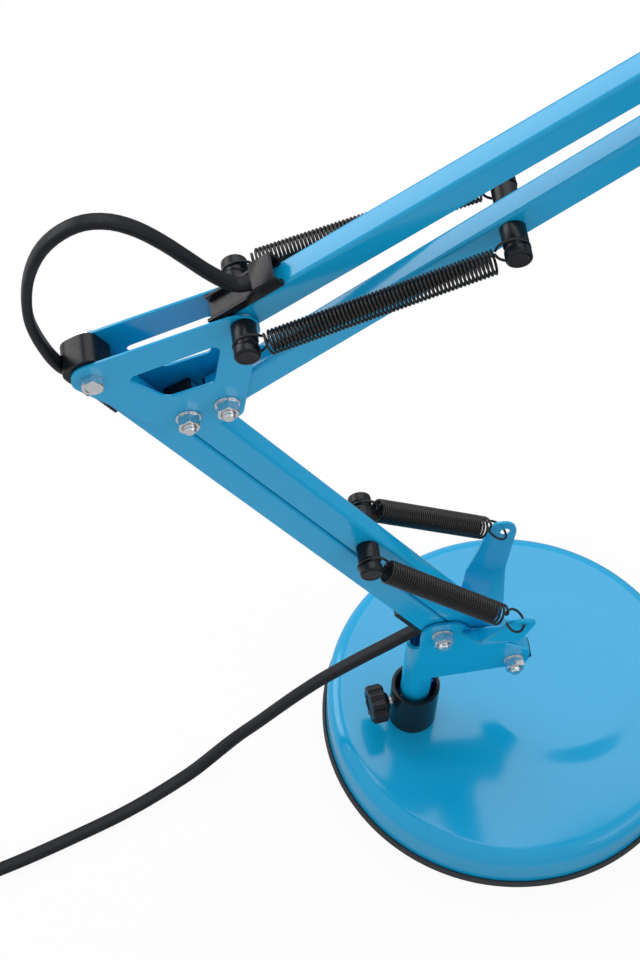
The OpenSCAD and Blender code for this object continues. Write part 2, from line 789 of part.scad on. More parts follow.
// How far an upper coil hangs outside its hooks
coil_aside = 2.1;
function upper_path(s) =
    let (
        a = [top_foot.x, s * elbow_groove_y, top_foot.y],
        b = [boom_peg.x, s * bar_groove_y, boom_peg.y],
        flat = unit([b.x - a.x, 0, b.z - a.z])
    )
    spring_path(a, b, upper_mean, upper_turns, 9, 8.5, hook_r,
        open_loop(b, flat, [-flat.z, 0, flat.x], hook_r, 140, -25, 8), [0, s * coil_aside, 0]);
function lower_path(s) =
    let (
        a = [lower_peg.x, s * bar_groove_y, lower_peg.y],
        b = [ear_hole.x, s * ear_y, ear_z],
        d = unit(b - a),
        side = flatten([0, -s * cos(ear_lean), sin(ear_lean)], d)
    )
    spring_path(a, b, lower_mean, lower_turns, 8.5, 12, hook_r,
        open_loop(b - ear_loop_r * d, d, side, ear_loop_r, 150, -120, 9));

module upper_spring_near() {
    spring(upper_path(-1));
}

module upper_spring_far() {
    spring(upper_path(1));
}

module lower_spring_near() {
    spring(lower_path(-1));
}

module lower_spring_far() {
    spring(lower_path(1));
}

echo(upper_spring_gap = self_gap(upper_path(1), coil_rings - 2, 2 * wire_r));
echo(lower_spring_gap = self_gap(lower_path(1), coil_rings - 2, 2 * wire_r));

// Flex: points along its middle, from the foot of the post
lead_route = [
    [0.3, 0, 110.4], [-4, 0, 107.4], [-9, 0, 102.9], [-16, 0, 96.4], [-25, 0, 88.4],
    [-35, 0, 79], [-45.6, 0, 68.4], [-55, 0, 57.2], [-63.6, 0, 46], [-73, 0, 33.2],
    [-82, 0, 21.6], [-89.3, -1.2, 13.6], [-96.7, -3.7, 7.6], [-104.3, -7.2, 3.8],
    [-112, -11, 2.3], [-122, -16.3, 2.1], [-132, -21.3, 2.1], [-142, -25.8, 2.1],
    [-152, -29.8, 2.1], [-164, -34.3, 2.1], [-176, -38.7, 2.1], [-188, -42.9, 2.1],
    [-200, -46.7, 2.1], [-212, -50.4, 2.1], [-224, -53.6, 2.1], [-236, -56.2, 2.2],
    [-246, -57.8, 2.3], [-254, -58.6, 2.4], [-260, -58.8, 2.5], [-266, -58.8, 2.5]
];
// The loop's way from the lower arm's top end
loop_steps = [
    [-5.04, -1.95], [-7.64, -1.35], [-10.04, 0.25], [-12.44, 4.05], [-15.24, 10.45],
    [-18.84, 22.05], [-20.84, 33.45], [-20.64, 47.45], [-18.44, 60.45], [-13.94, 71.85],
    [-7.04, 80.05], [1.06, 84.25], [10.06, 83.45], [19.06, 78.05], [27.96, 69.25], [35.96, 59.65],
    [42.96, 51.05], [49.16, 44.75], [54.56, 41.35], [59.36, 42.25], [63.06, 44.95]
];
loop_route = [for (p = loop_steps) [front_top.x + p.x, 0, front_top.y + p.y]];
coil_start = lead_route[len(lead_route) - 1];
coil_straight = 7;
coil_in = 26.4;
coil_step = flex_w + 0.6;
layer_step = flex_t + 0.5;
coil_low = coil_start.z;
coil_segments = 24;
coil_out = coil_in + coil_step * coil_turns / 2;
coil_mid = [coil_start.x - coil_straight, coil_start.y + coil_out];

// Winds in along the table, climbs in the half turn where it reverses, and winds out above
function coil_point(s) =
    let (
        mid = coil_turns / 2,
        r = coil_in + coil_step * abs(s - mid),
        z = coil_low + layer_step * clamp((s - mid + 0.25) * 2, 0, 1),
        a = -90 - 360 * s
    )
    [coil_mid.x + r * cos(a), coil_mid.y + r * sin(a), z];
coil_count = round(coil_turns * coil_segments);
coil_path = [for (i = [0:coil_count]) coil_point(coil_turns * i / coil_count)];
plug_h = 13.6;
tail_x = coil_mid.x - coil_out;
tail_len = 84;
// The tail's way past the coil and its height: down to the table and up into the plug
tail_steps = [
    [12, 5.9], [22, 4.6], [32, 3.1], [42, 2.2], [52, 2.3], [61, 3.7], [69, 5.6],
    [77, plug_h / 2], [tail_len, plug_h / 2]
];
tail_path = [for (p = tail_steps) [tail_x, coil_mid.y + p.x, p.y]];
echo(coil_gap = self_gap(coil_path, coil_segments - 4, flex_t));

module flex_tube(path, sides_v, sides = 8) {
    color("#30323A") at_post() sweep(path, sides_v, flex_w / 2, flex_t / 2, sides);
}

module flex_lead() {
    flex_tube(lead_route, level(lead_route));
}

module flex_loop() {
    flex_tube(loop_route, facing(loop_route, [0, 1, 0]));
}

module flex_coil() {
    path = concat([coil_start], coil_path, tail_path);
    flex_tube(path, level(path), 6);
}

tie_t = 0.4;
module coil_tie() {
    low = coil_low - flex_t / 2 - 0.05 - tie_t;
    high = coil_low + layer_step + flex_t / 2 + 0.1 + tie_t;
    inner = coil_in - flex_w / 2 - 0.6;
    outer = coil_out + flex_w / 2 + 0.5;
    color("#4A4D52") at_post() translate([coil_mid.x, coil_mid.y, 0]) rotate([0, 0, 40])
        slab(-1.5, 1.5) difference() {
            polygon(rounded([[inner - tie_t, low, 1], [outer + tie_t, low, 1],
                [outer + tie_t, high, 1], [inner - tie_t, high, 1]]));
            polygon(rounded([[inner, low + tie_t, 0.5], [outer, low + tie_t, 0.5],
                [outer, high - tie_t, 0.5], [inner, high - tie_t, 0.5]]));
        }
}

// Flat two-pin plug beside the coil
plug_taper = 24;
plug_len = plug_taper + 32;
plug_w = 34;
pin_space = 9.3;
pin_r = 2;
pin_len = 19;
module at_plug() {
    at_post() translate([tail_x, coil_mid.y + tail_len, plug_h / 2]) rotate([-90, 0, 0]) children();
}

module plug_body() {
    half = plug_h / 2;
    color(black) at_plug() difference() {
        union() {
            translate([0, 0, plug_taper]) linear_extrude(plug_len - plug_taper) polygon(rounded([
                [-plug_w / 2, 0, 5.5], [-plug_w / 2 + 6, -half, 4], [plug_w / 2 - 6, -half, 4],
                [plug_w / 2, 0, 5.5], [plug_w / 2 - 6, half, 4], [-plug_w / 2 + 6, half, 4]
            ]));
            cylinder(r1 = 4.2, r2 = half - 0.4, h = plug_taper + 0.5);
        }
        for (s = [-1, 1]) translate([pin_space * s, 0, plug_len - 10]) cylinder(r = pin_r, h = 12);
    }
}

module plug_pins() {
    color(zinc) at_plug() for (s = [-1, 1]) translate([pin_space * s, 0, plug_len - 10]) {
        cylinder(r = pin_r, h = 10 + pin_len - pin_r);
        translate([0, 0, 10 + pin_len - pin_r]) sphere(r = pin_r);
    }
}

// Head: two plates carry the ends of both bars and the shade's tilt pivot
module head_plate(y0) {
    corners = [boom_end, tilt_pin, top_end];
    color(blue) at_post() difference() {
        slab(y0, y0 + plate_t) polygon(band_round(corners, 8.4));
        slab(y0 - 1, y0 + plate_t + 1) polygon(band_round([
            boom_end + [13, 12.5], tilt_pin + [-19, 5.5], top_end + [5, -17]], 1.5));
        for (p = corners)
            translate([p.x, y0 - 1, p.y]) rotate([-90, 0, 0])
                cylinder(r = bolt_r + clear, h = plate_t + 2);
    }
}

module head_plate_near() {
    head_plate(-plate_out);
}

module head_plate_far() {
    head_plate(plate_in);
}

module head_bolts() {
    color(zinc) {
        bolt(boom_end, plate_out);
        bolt(top_end, plate_out);
        across(tilt_pin) {
            translate([0, 0, plate_out]) cylinder(r = nut_af / 2 / cos(30), h = 3.5, $fn = 6);
            translate([0, 0, -plate_out - 10]) cylinder(r = bolt_r, h = 2 * plate_out + 10.01);
        }
    }
}

module head_nuts() {
    color(zinc) {
        nut(boom_end, plate_out);
        nut(top_end, plate_out);
    }
}

// Hand nut on the near side that clamps the tilt
module tilt_knob() {
    color(black) across(tilt_pin) difference() {
        union() {
            translate([0, 0, -plate_out - gap - 3]) cylinder(r = 6, h = 3);
            translate([0, 0, -plate_out - gap - 13]) cylinder(r = 11, h = 10.01);
        }
        for (i = [0:9]) rotate(i * 36) translate([12.4, 0, -plate_out - gap - 14])
            cylinder(r = 2.4, h = 12, $fn = 24);
        translate([0, 0, -plate_out - 10.2]) cylinder(r = bolt_r + clear, h = 12);
    }
}

// Shade: its own frame has Z down the axis from the tilt pivot
module in_shade() {
    at_post() translate([tilt_pin.x, 0, tilt_pin.y]) rotate([180, 0, 0]) children();
}

neck_start = knuckle_len;
neck_end = neck_start + neck_len;
stem_r = 5;
gland_off = 14.8;
gland_r = 4;
button_r = 5;
button_drop = 40;
mouth = neck_end + bell_len;
// Radius of the bell at share s of its length
function bell_r(s) = neck_r + (mouth_r - neck_r) * (0.42 * s + 0.58 * pow(s, 0.62) * (1 - s) + 0.58 * s * s);

module shade_bell() {
    n = 14;
    outside = [for (i = [0:n]) [bell_r(i / n), neck_end + bell_len * i / n]];
    inside = [for (i = [n:-1:0]) [bell_r(i / n) - shade_t, neck_end + bell_len * i / n]];
    top = [for (i = [0:4]) [neck_r - 6, neck_start + 6] + 6 * aim(-90 + i * 22.5)];
    under = [for (i = [4:-1:0]) [neck_r - 6, neck_start + 6] + (6 - shade_t) * aim(-90 + i * 22.5)];
    color(blue) in_shade() difference() {
        union() {
            rotate_extrude($fn = 72)
                polygon(concat([[stem_r, neck_start]], top, outside, inside, under,
                    [[stem_r, neck_start + shade_t]]));
            translate([0, 0, mouth - 0.6]) rotate_extrude($fn = 72)
                translate([mouth_r - 0.2, 0]) circle(r = 1.2, $fn = 16);
        }
        for (i = [0:9]) rotate(i * 36 + 18) translate([neck_r - 3, -1.5, neck_start + 12])
            cube([6, 3, 20]);
        translate([gland_off, 0, neck_start - 1]) cylinder(r = gland_r, h = 5);
        at_button() cylinder(r = button_r + clear, h = neck_r + 5);
    }
}

// Knuckle between the head plates, screwed to the neck by its stem
module shade_knuckle() {
    w = plate_in - gap;
    color(black) in_shade() difference() {
        union() {
            y_rod(0, 8, -w, w);
            translate([-6, -w, 0]) cube([12, 2 * w, neck_start - 4]);
            translate([0, 0, neck_start - 4.4]) cylinder(r = 8.6, h = 4.4);
            translate([0, 0, neck_start - 0.01]) cylinder(r = stem_r, h = 6);
        }
        y_rod(0, bolt_r + clear, -20, 20);
    }
}

bulb_cap_r = 13.3;
module lampholder() {
    color("#1E1F22") in_shade() difference() {
        translate([0, 0, neck_start + shade_t]) union() {
            cylinder(r = 15, h = 12);
            translate([0, 0, 10]) cylinder(r = 18.5, h = 32);
        }
        translate([0, 0, neck_start]) cylinder(r = stem_r, h = 6);
        translate([0, 0, neck_start + shade_t + 14]) cylinder(r = bulb_cap_r + 0.4, h = 40);
        translate([gland_off, 0, neck_start]) cylinder(r = gland_r + 0.2, h = 9);
    }
}

cap_start = neck_start + shade_t + 15;
bulb_cap_len = 26;
module bulb_cap() {
    color(zinc) in_shade() translate([0, 0, cap_start - 1]) rotate_extrude() polygon([
        [0, 0], [5, 0], [9, 4], [bulb_cap_r, 4], [bulb_cap_r, bulb_cap_len],
        [bulb_cap_r - 0.8, bulb_cap_len], [bulb_cap_r - 0.8, 5], [8.6, 5], [5, 1], [0, 1]
    ]);
}

// Outline of the bulb, inset by t
function bulb_side(neck, t) = concat(
    [for (i = [0:6])
        [bulb_cap_r - t + (bulb_r * 0.94 - bulb_cap_r) * (1 - cos(i * 30)) / 2, neck + 34 * i / 6]],
    [for (i = [0:10]) [0, neck + 43] + (bulb_r - t) * aim(-20 + i * 11)]
);
module bulb_glass() {
    neck = cap_start + bulb_cap_len - 1;
    inner = bulb_side(neck, 1);
    color("#F2F0E8") in_shade() rotate_extrude() polygon(concat(
        bulb_side(neck, 0), [for (i = [len(inner) - 1:-1:0]) inner[i]]
    ));
}

// Gland in the neck's top for the flex, and the flex from the top bar to it
gland = [tilt_pin.x + gland_off, tilt_pin.y - neck_start];
module flex_gland() {
    color(black) at_post() translate([gland.x, 0, gland.y]) difference() {
        union() {
            translate([0, 0, -3]) cylinder(r = gland_r, h = 3.1);
            cylinder(r1 = 5.6, r2 = 4.4, h = 7);
        }
        translate([-flex_t / 2 - 0.1, -flex_w / 2 - 0.1, 3])
            cube([flex_t + 0.2, flex_w + 0.2, 10]);
    }
}

head_steps = [
    [14.8, -28.9], [14.8, -14], [15, 0], [14.4, 16], [12, 30], [6.5, 41], [-2, 49],
    [-12, 52.5], [-22, 51.6], [-31, 46.7]
];
head_route = concat(
    [for (p = head_steps) [tilt_pin.x + p.x, 0, tilt_pin.y + p.y]],
    [let (q = top_end + (head_over + cap_t + clear) * aim(top_angle)) [q.x, 0, q.y]]
);
module flex_head() {
    flex_tube(head_route, facing(head_route, [0, 1, 0]));
}

// Push button in the side of the neck, kept in by a flange behind the sheet
button_flange = button_r + 1.5;
module at_button() {
    translate([0, 0, neck_start + button_drop]) rotate([0, 90, 0]) children();
}

module switch_button() {
    seat = sqrt(pow(neck_r - shade_t, 2) - pow(button_flange, 2)) - gap;
    color(black) in_shade() at_button() {
        translate([0, 0, seat - 1]) cylinder(r = button_flange, h = 1);
        translate([0, 0, seat - 0.5]) cylinder(r = button_r, h = neck_r + 4 - seat);
    }
}

base_cover();
base_rim();
base_weight();
base_plate();
base_pad();
socket();
swivel_bush();
socket_bolt();
flex_lead();
flex_coil();
coil_tie();
plug_body();
plug_pins();
thumb_knob();
thumb_stud();
yoke();
yoke_bolts();
yoke_nuts();
lower_spring_near();
lower_spring_far();
front_bar();
front_bar_grommet();
front_bar_cap();
front_bar_bushes();
flex_in_front_bar();
rear_bar();
rear_bar_caps();
rear_bar_bushes();
lower_pegs();
elbow_plate_near();
elbow_plate_far();
elbow_bolts();
elbow_nuts();
elbow_pegs();
flex_loop();
boom();
boom_caps();
boom_bushes();
boom_pegs();
upper_spring_near();
upper_spring_far();
top_bar();
top_bar_holder();
top_bar_cap();
top_bar_bushes();
flex_in_top_bar();
head_plate_near();
head_plate_far();
head_bolts();
head_nuts();
flex_head();
shade_bell();
shade_knuckle();
lampholder();
bulb_cap();
bulb_glass();
flex_gland();
tilt_knob();
switch_button();
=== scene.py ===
"""Spring-balanced desk lamp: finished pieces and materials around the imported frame."""

import logging
import math
from dataclasses import dataclass, field
from enum import Enum
from typing import Callable, Iterable, Sequence

import bmesh
import bpy
from mathutils import Matrix, Vector


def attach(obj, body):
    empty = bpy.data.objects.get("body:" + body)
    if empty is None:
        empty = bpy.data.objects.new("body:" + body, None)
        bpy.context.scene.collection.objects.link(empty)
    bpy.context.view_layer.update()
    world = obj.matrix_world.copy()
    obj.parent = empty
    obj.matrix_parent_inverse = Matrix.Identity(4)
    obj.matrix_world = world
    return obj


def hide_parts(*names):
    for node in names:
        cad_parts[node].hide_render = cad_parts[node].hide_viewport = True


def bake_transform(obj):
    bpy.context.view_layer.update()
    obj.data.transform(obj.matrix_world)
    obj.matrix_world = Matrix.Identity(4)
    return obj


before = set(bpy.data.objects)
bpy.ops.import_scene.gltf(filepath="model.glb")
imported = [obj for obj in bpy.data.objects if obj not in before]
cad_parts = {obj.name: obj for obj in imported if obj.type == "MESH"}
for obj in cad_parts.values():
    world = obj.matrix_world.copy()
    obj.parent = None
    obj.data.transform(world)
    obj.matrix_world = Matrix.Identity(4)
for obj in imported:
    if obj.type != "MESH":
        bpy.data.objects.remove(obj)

log = logging.getLogger("lamp")
MM = 0.001
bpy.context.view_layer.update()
# The foot of the post, from which the arm's sizes are counted
POST_X, POST_Y = -49.5, -5.3

Ring = Callable[[float], tuple[float, float]]
Pair = tuple[float, float]
Triple = tuple[float, float, float]


def foot(x: float, y: float, z: float) -> Vector:
    """A place in millimetres from the foot of the post, as a point of the frame in metres."""
    return Vector(((x + POST_X) * MM, (y + POST_Y) * MM, z * MM))


def aim(angle: float) -> Vector:
    """Unit vector in the arm's plane, as X and Z, at an angle in degrees above the table."""
    return Vector((math.cos(math.radians(angle)), math.sin(math.radians(angle))))


def clamp(value: float, low: float, high: float) -> float:
    """The value held between two bounds."""
    return max(low, min(high, value))


def smooth(share: float) -> float:
    """Smooth step from 0 to 1."""
    t = clamp(share, 0, 1)
    return t * t * (3 - 2 * t)


class Side(Enum):
    """The two sides of the arm; near is the side that faces the camera."""

    NEAR = -1
    FAR = 1


class Body(Enum):
    """The moving bodies of the lamp."""

    BASE = "base"
    THUMB = "thumb_screw"
    YOKE = "yoke"
    FRONT = "front_bar"
    REAR = "rear_bar"
    ELBOW = "elbow"
    BOOM = "boom"
    TOP = "top_bar"
    HEAD = "head_bracket"
    SHADE = "shade"
    TILT = "tilt_knob"
    SWITCH = "switch_button"


# ---------------------------------------------------------------- finishes


@dataclass(frozen=True)
class Finish:
    """How one surface looks.

    Args:
        slot: the record's material slot, which also names the material.
        color: linear base colour.
        roughness: middle roughness.
        spread: how far roughness wanders either way.
        tone: how far the colour wanders, as a share.
        tone_scale: patches of tone in a metre.
        grain: height of the surface grain in millimetres.
        grain_scale: grains in a metre.
        stretch: how grain is drawn out along X, Y and Z.
        metallic: 1 on bare metal.
        coat: clear coat on top.
        specular: specular level of the base.
    """

    slot: str
    color: Triple
    roughness: float
    spread: float = 0.04
    tone: float = 0.03
    tone_scale: float = 25.0
    grain: float = 0.004
    grain_scale: float = 900.0
    stretch: Triple = (1.0, 1.0, 1.0)
    metallic: float = 0.0
    coat: float = 0.0
    specular: float = 0.5


class Finishes:
    """Makes each finish's material once, from two shared node groups."""

    def __init__(self) -> None:
        """Builds the shared groups."""
        self.mottle = self._mottle_group()
        self.relief = self._relief_group()
        self.made: dict[str, bpy.types.Material] = {}

    @staticmethod
    def _group(name: str, inputs: Iterable[tuple[str, str]], outputs: Iterable[tuple[str, str]]):
        """Starts a node group.

        Args:
            name: the group's name.
            inputs: name and socket type of each input.
            outputs: name and socket type of each output.

        Returns:
            The group, its input node and its output node.
        """
        group = bpy.data.node_groups.new(name, "ShaderNodeTree")
        for label, kind in inputs:
            group.interface.new_socket(name=label, in_out="INPUT", socket_type=kind)
        for label, kind in outputs:
            group.interface.new_socket(name=label, in_out="OUTPUT", socket_type=kind)
        return group, group.nodes.new("NodeGroupInput"), group.nodes.new("NodeGroupOutput")

    def _mottle_group(self) -> bpy.types.NodeTree:
        """Group that wanders a colour and a roughness over the surface."""
        group, source, result = self._group(
            "mottled_surface",
            [("Vector", "NodeSocketVector"), ("Patches", "NodeSocketFloat"),
             ("Light", "NodeSocketColor"), ("Deep", "NodeSocketColor"),
             ("Dull", "NodeSocketFloat"), ("Bright", "NodeSocketFloat")],
            [("Color", "NodeSocketColor"), ("Roughness", "NodeSocketFloat")])
        nodes, links = group.nodes, group.links
        wide = nodes.new("ShaderNodeTexNoise")
        wide.inputs["Detail"].default_value = 3.0
        fine = nodes.new("ShaderNodeTexNoise")
        fine.inputs["Detail"].default_value = 4.0
        scale = nodes.new("ShaderNodeMath")
        scale.operation = "MULTIPLY"
        scale.inputs[1].default_value = 7.0
        mix = nodes.new("ShaderNodeMix")
        mix.data_type = "RGBA"
        gloss = nodes.new("ShaderNodeMapRange")
        gloss.inputs["From Min"].default_value = 0.3
        gloss.inputs["From Max"].default_value = 0.7
        links.new(source.outputs["Vector"], wide.inputs["Vector"])
        links.new(source.outputs["Vector"], fine.inputs["Vector"])
        links.new(source.outputs["Patches"], wide.inputs["Scale"])
        links.new(source.outputs["Patches"], scale.inputs[0])
        links.new(scale.outputs[0], fine.inputs["Scale"])
        links.new(wide.outputs["Fac"], mix.inputs["Factor"])
        links.new(source.outputs["Light"], mix.inputs["A"])
        links.new(source.outputs["Deep"], mix.inputs["B"])
        links.new(fine.outputs["Fac"], gloss.inputs["Value"])
        links.new(source.outputs["Bright"], gloss.inputs["To Min"])
        links.new(source.outputs["Dull"], gloss.inputs["To Max"])
        links.new(mix.outputs["Result"], result.inputs["Color"])
        links.new(gloss.outputs["Result"], result.inputs["Roughness"])
        return group

    def _relief_group(self) -> bpy.types.NodeTree:
        """Group that gives the height of a fine grain with soft waves under it."""
        group, source, result = self._group(
            "fine_relief",
            [("Vector", "NodeSocketVector"), ("Grains", "NodeSocketFloat"),
             ("Waves", "NodeSocketFloat")],
            [("Height", "NodeSocketFloat")])
        nodes, links = group.nodes, group.links
        grain = nodes.new("ShaderNodeTexNoise")
        grain.inputs["Detail"].default_value = 2.0
        wave = nodes.new("ShaderNodeTexNoise")
        wave.inputs["Detail"].default_value = 1.0
        share = nodes.new("ShaderNodeMath")
        share.operation = "MULTIPLY"
        share.inputs[1].default_value = 0.16
        lift = nodes.new("ShaderNodeMath")
        lift.operation = "MULTIPLY_ADD"
        links.new(source.outputs["Vector"], grain.inputs["Vector"])
        links.new(source.outputs["Vector"], wave.inputs["Vector"])
        links.new(source.outputs["Grains"], grain.inputs["Scale"])
        links.new(source.outputs["Grains"], share.inputs[0])
        links.new(share.outputs[0], wave.inputs["Scale"])
        links.new(wave.outputs["Fac"], lift.inputs[0])
        links.new(source.outputs["Waves"], lift.inputs[1])
        links.new(grain.outputs["Fac"], lift.inputs[2])
        links.new(lift.outputs[0], result.inputs["Height"])
        return group

    def material(self, finish: Finish) -> bpy.types.Material:
        """The material of a finish, made on first use."""
        if finish.slot not in self.made:
            self.made[finish.slot] = self._build(finish)
        return self.made[finish.slot]

    def _build(self, finish: Finish) -> bpy.types.Material:
        """Builds a finish's material.

        Args:
            finish: the finish.

        Returns:
            The material, on Object coordinates.
        """
        made = bpy.data.materials.new(finish.slot)
        made.use_nodes = True
        nodes, links = made.node_tree.nodes, made.node_tree.links
        shader = nodes["Principled BSDF"]
        place = nodes.new("ShaderNodeTexCoord")
        turn = nodes.new("ShaderNodeMapping")
        turn.inputs["Scale"].default_value = finish.stretch
        links.new(place.outputs["Object"], turn.inputs["Vector"])
        mottle = nodes.new("ShaderNodeGroup")
        mottle.node_tree = self.mottle
        mottle.inputs["Patches"].default_value = finish.tone_scale
        light = [clamp(c * (1 + finish.tone), 0, 1) for c in finish.color]
        deep = [clamp(c * (1 - finish.tone), 0, 1) for c in finish.color]
        mottle.inputs["Light"].default_value = (*light, 1)
        mottle.inputs["Deep"].default_value = (*deep, 1)
        mottle.inputs["Dull"].default_value = finish.roughness + finish.spread
        mottle.inputs["Bright"].default_value = max(0.02, finish.roughness - finish.spread)
        links.new(turn.outputs["Vector"], mottle.inputs["Vector"])
        links.new(mottle.outputs["Color"], shader.inputs["Base Color"])
        links.new(mottle.outputs["Roughness"], shader.inputs["Roughness"])
        relief = nodes.new("ShaderNodeGroup")
        relief.node_tree = self.relief
        relief.inputs["Grains"].default_value = finish.grain_scale
        relief.inputs["Waves"].default_value = 1.6
        links.new(turn.outputs["Vector"], relief.inputs["Vector"])
        bump = nodes.new("ShaderNodeBump")
        bump.inputs["Strength"].default_value = 1.0
        bump.inputs["Distance"].default_value = finish.grain * MM
        links.new(relief.outputs["Height"], bump.inputs["Height"])
        links.new(bump.outputs["Normal"], shader.inputs["Normal"])
        shader.inputs["Metallic"].default_value = finish.metallic
        shader.inputs["Coat Weight"].default_value = finish.coat
        shader.inputs["Coat Roughness"].default_value = 0.12
        shader.inputs["Specular IOR Level"].default_value = finish.specular
        made.diffuse_color = (*finish.color, 1)
        return made


PAINT = Finish("blue_paint", (0.004, 0.358, 0.67), 0.13, spread=0.012, tone=0.005,
               tone_scale=18, grain=0.0004, grain_scale=420, specular=0.5)
BLACK = Finish("black_plastic", (0.006, 0.007, 0.01), 0.3, spread=0.05, tone=0.15,
               tone_scale=60, grain=0.006, grain_scale=2600, specular=0.28)
LINER = Finish("blue_plastic", (0.02, 0.03, 0.5), 0.35, grain=0.006, grain_scale=1500)
WHITE = Finish("white_plastic", (0.72, 0.72, 0.69), 0.42, grain=0.006, grain_scale=1500)
ZINC = Finish("zinc", (0.74, 0.76, 0.78), 0.24, spread=0.12, tone=0.12, tone_scale=420,
              grain=0.01, grain_scale=1900, metallic=1.0)
SPRING = Finish("spring_wire", (0.006, 0.006, 0.007), 0.3, spread=0.05, tone=0.2,
                tone_scale=200, grain=0.004, grain_scale=2400, specular=0.5)
RUBBER = Finish("grey_rubber", (0.028, 0.031, 0.035), 0.62, spread=0.08, tone=0.12,
                tone_scale=90, grain=0.03, grain_scale=1300)
IRON = Finish("cast_iron", (0.09, 0.09, 0.092), 0.7, spread=0.1, tone=0.25, tone_scale=70,
              grain=0.12, grain_scale=500, metallic=0.6)
STEEL = Finish("plate_steel", (0.33, 0.33, 0.34), 0.38, spread=0.1, tone=0.1, tone_scale=60,
               grain=0.01, grain_scale=900, stretch=(1, 8, 1), metallic=1.0)
SHEATH = Finish("flex_sheath", (0.006, 0.008, 0.012), 0.46, spread=0.08, tone=0.22,
                tone_scale=110, grain=0.02, grain_scale=1500, specular=0.24)
PLUG = Finish("plug_plastic", (0.015, 0.015, 0.017), 0.34, spread=0.06, tone=0.12,
              tone_scale=80, grain=0.012, grain_scale=1900)
TIE = Finish("tie", (0.045, 0.045, 0.05), 0.45, tone=0.1, grain=0.01, grain_scale=1500)
OPAL = Finish("bulb", (0.86, 0.85, 0.81), 0.28, spread=0.03, tone=0.01, grain=0.002,
              grain_scale=600, coat=0.3)
ENAMEL = Finish("blue_paint_inside", (0.8, 0.8, 0.77), 0.35, spread=0.05, tone=0.02,
                grain=0.004, grain_scale=500)


# ---------------------------------------------------------------- shapes


def arc_corner(before: Pair, at: Pair, after: Pair, radius: float, steps: int) -> list[Pair]:
    """Points of the arc that rounds one corner of an outline."""
    q = Vector(at)
    u = (Vector(before) - q).normalized()
    w = (Vector(after) - q).normalized()
    half = math.acos(clamp(u.dot(w), -1, 1)) / 2
    if radius <= 0 or half > 1.55:
        return [tuple(q)]
    reach = radius / math.tan(half)
    centre = q + (u + w).normalized() * radius / math.sin(half)
    a, b = q + u * reach - centre, q + w * reach - centre
    start = math.atan2(a.y, a.x)
    turn = (math.atan2(b.y, b.x) - start + 3 * math.pi) % (2 * math.pi) - math.pi
    return [(centre.x + radius * math.cos(start + turn * i / steps),
             centre.y + radius * math.sin(start + turn * i / steps)) for i in range(steps + 1)]


def soft_profile(corners: Sequence[Triple], steps: int = 4, closed: bool = False) -> list[Pair]:
    """Rounds the corners of a profile.

    Args:
        corners: radius and height of each corner, and its rounding.
        steps: pieces of each rounding.
        closed: whether the last corner joins the first.

    Returns:
        Points of the profile.
    """
    count = len(corners)
    points: list[Pair] = []
    for i, (r, z, rounding) in enumerate(corners):
        if not closed and i in (0, count - 1):
            points.append((r, z))
            continue
        before, after = corners[i - 1][:2], corners[(i + 1) % count][:2]
        points += arc_corner(before, (r, z), after, rounding, steps)
    return points


def round_ring(radius: float, height: float) -> Ring:
    """A round ring."""
    return lambda angle: (radius, height)


def hex_ring(flats: float, height: float, chamfer: float = 0.0) -> Ring:
    """A six-sided ring whose corners drop by the chamfer's slope."""
    def place(angle: float) -> Pair:
        part = (angle + math.pi / 6) % (math.pi / 3) - math.pi / 6
        radius = flats / 2 / math.cos(part)
        return radius, height - chamfer * max(0.0, radius - flats * 0.49)
    return place


def lobed_ring(radius: float, depth: float, lobes: int, height: float) -> Ring:
    """A ring with round finger grips."""
    def place(angle: float) -> Pair:
        wave = 0.5 + 0.5 * math.cos(lobes * angle)
        return radius - depth * (1 - wave) ** 1.4, height
    return place


def oval_ring(half_x: float, half_y: float, height: float, power: float = 2.6) -> Ring:
    """A flattened ring between an ellipse and a box."""
    def place(angle: float) -> Pair:
        c, s = abs(math.cos(angle)), abs(math.sin(angle))
        return ((c / half_x) ** power + (s / half_y) ** power) ** (-1 / power), height
    return place


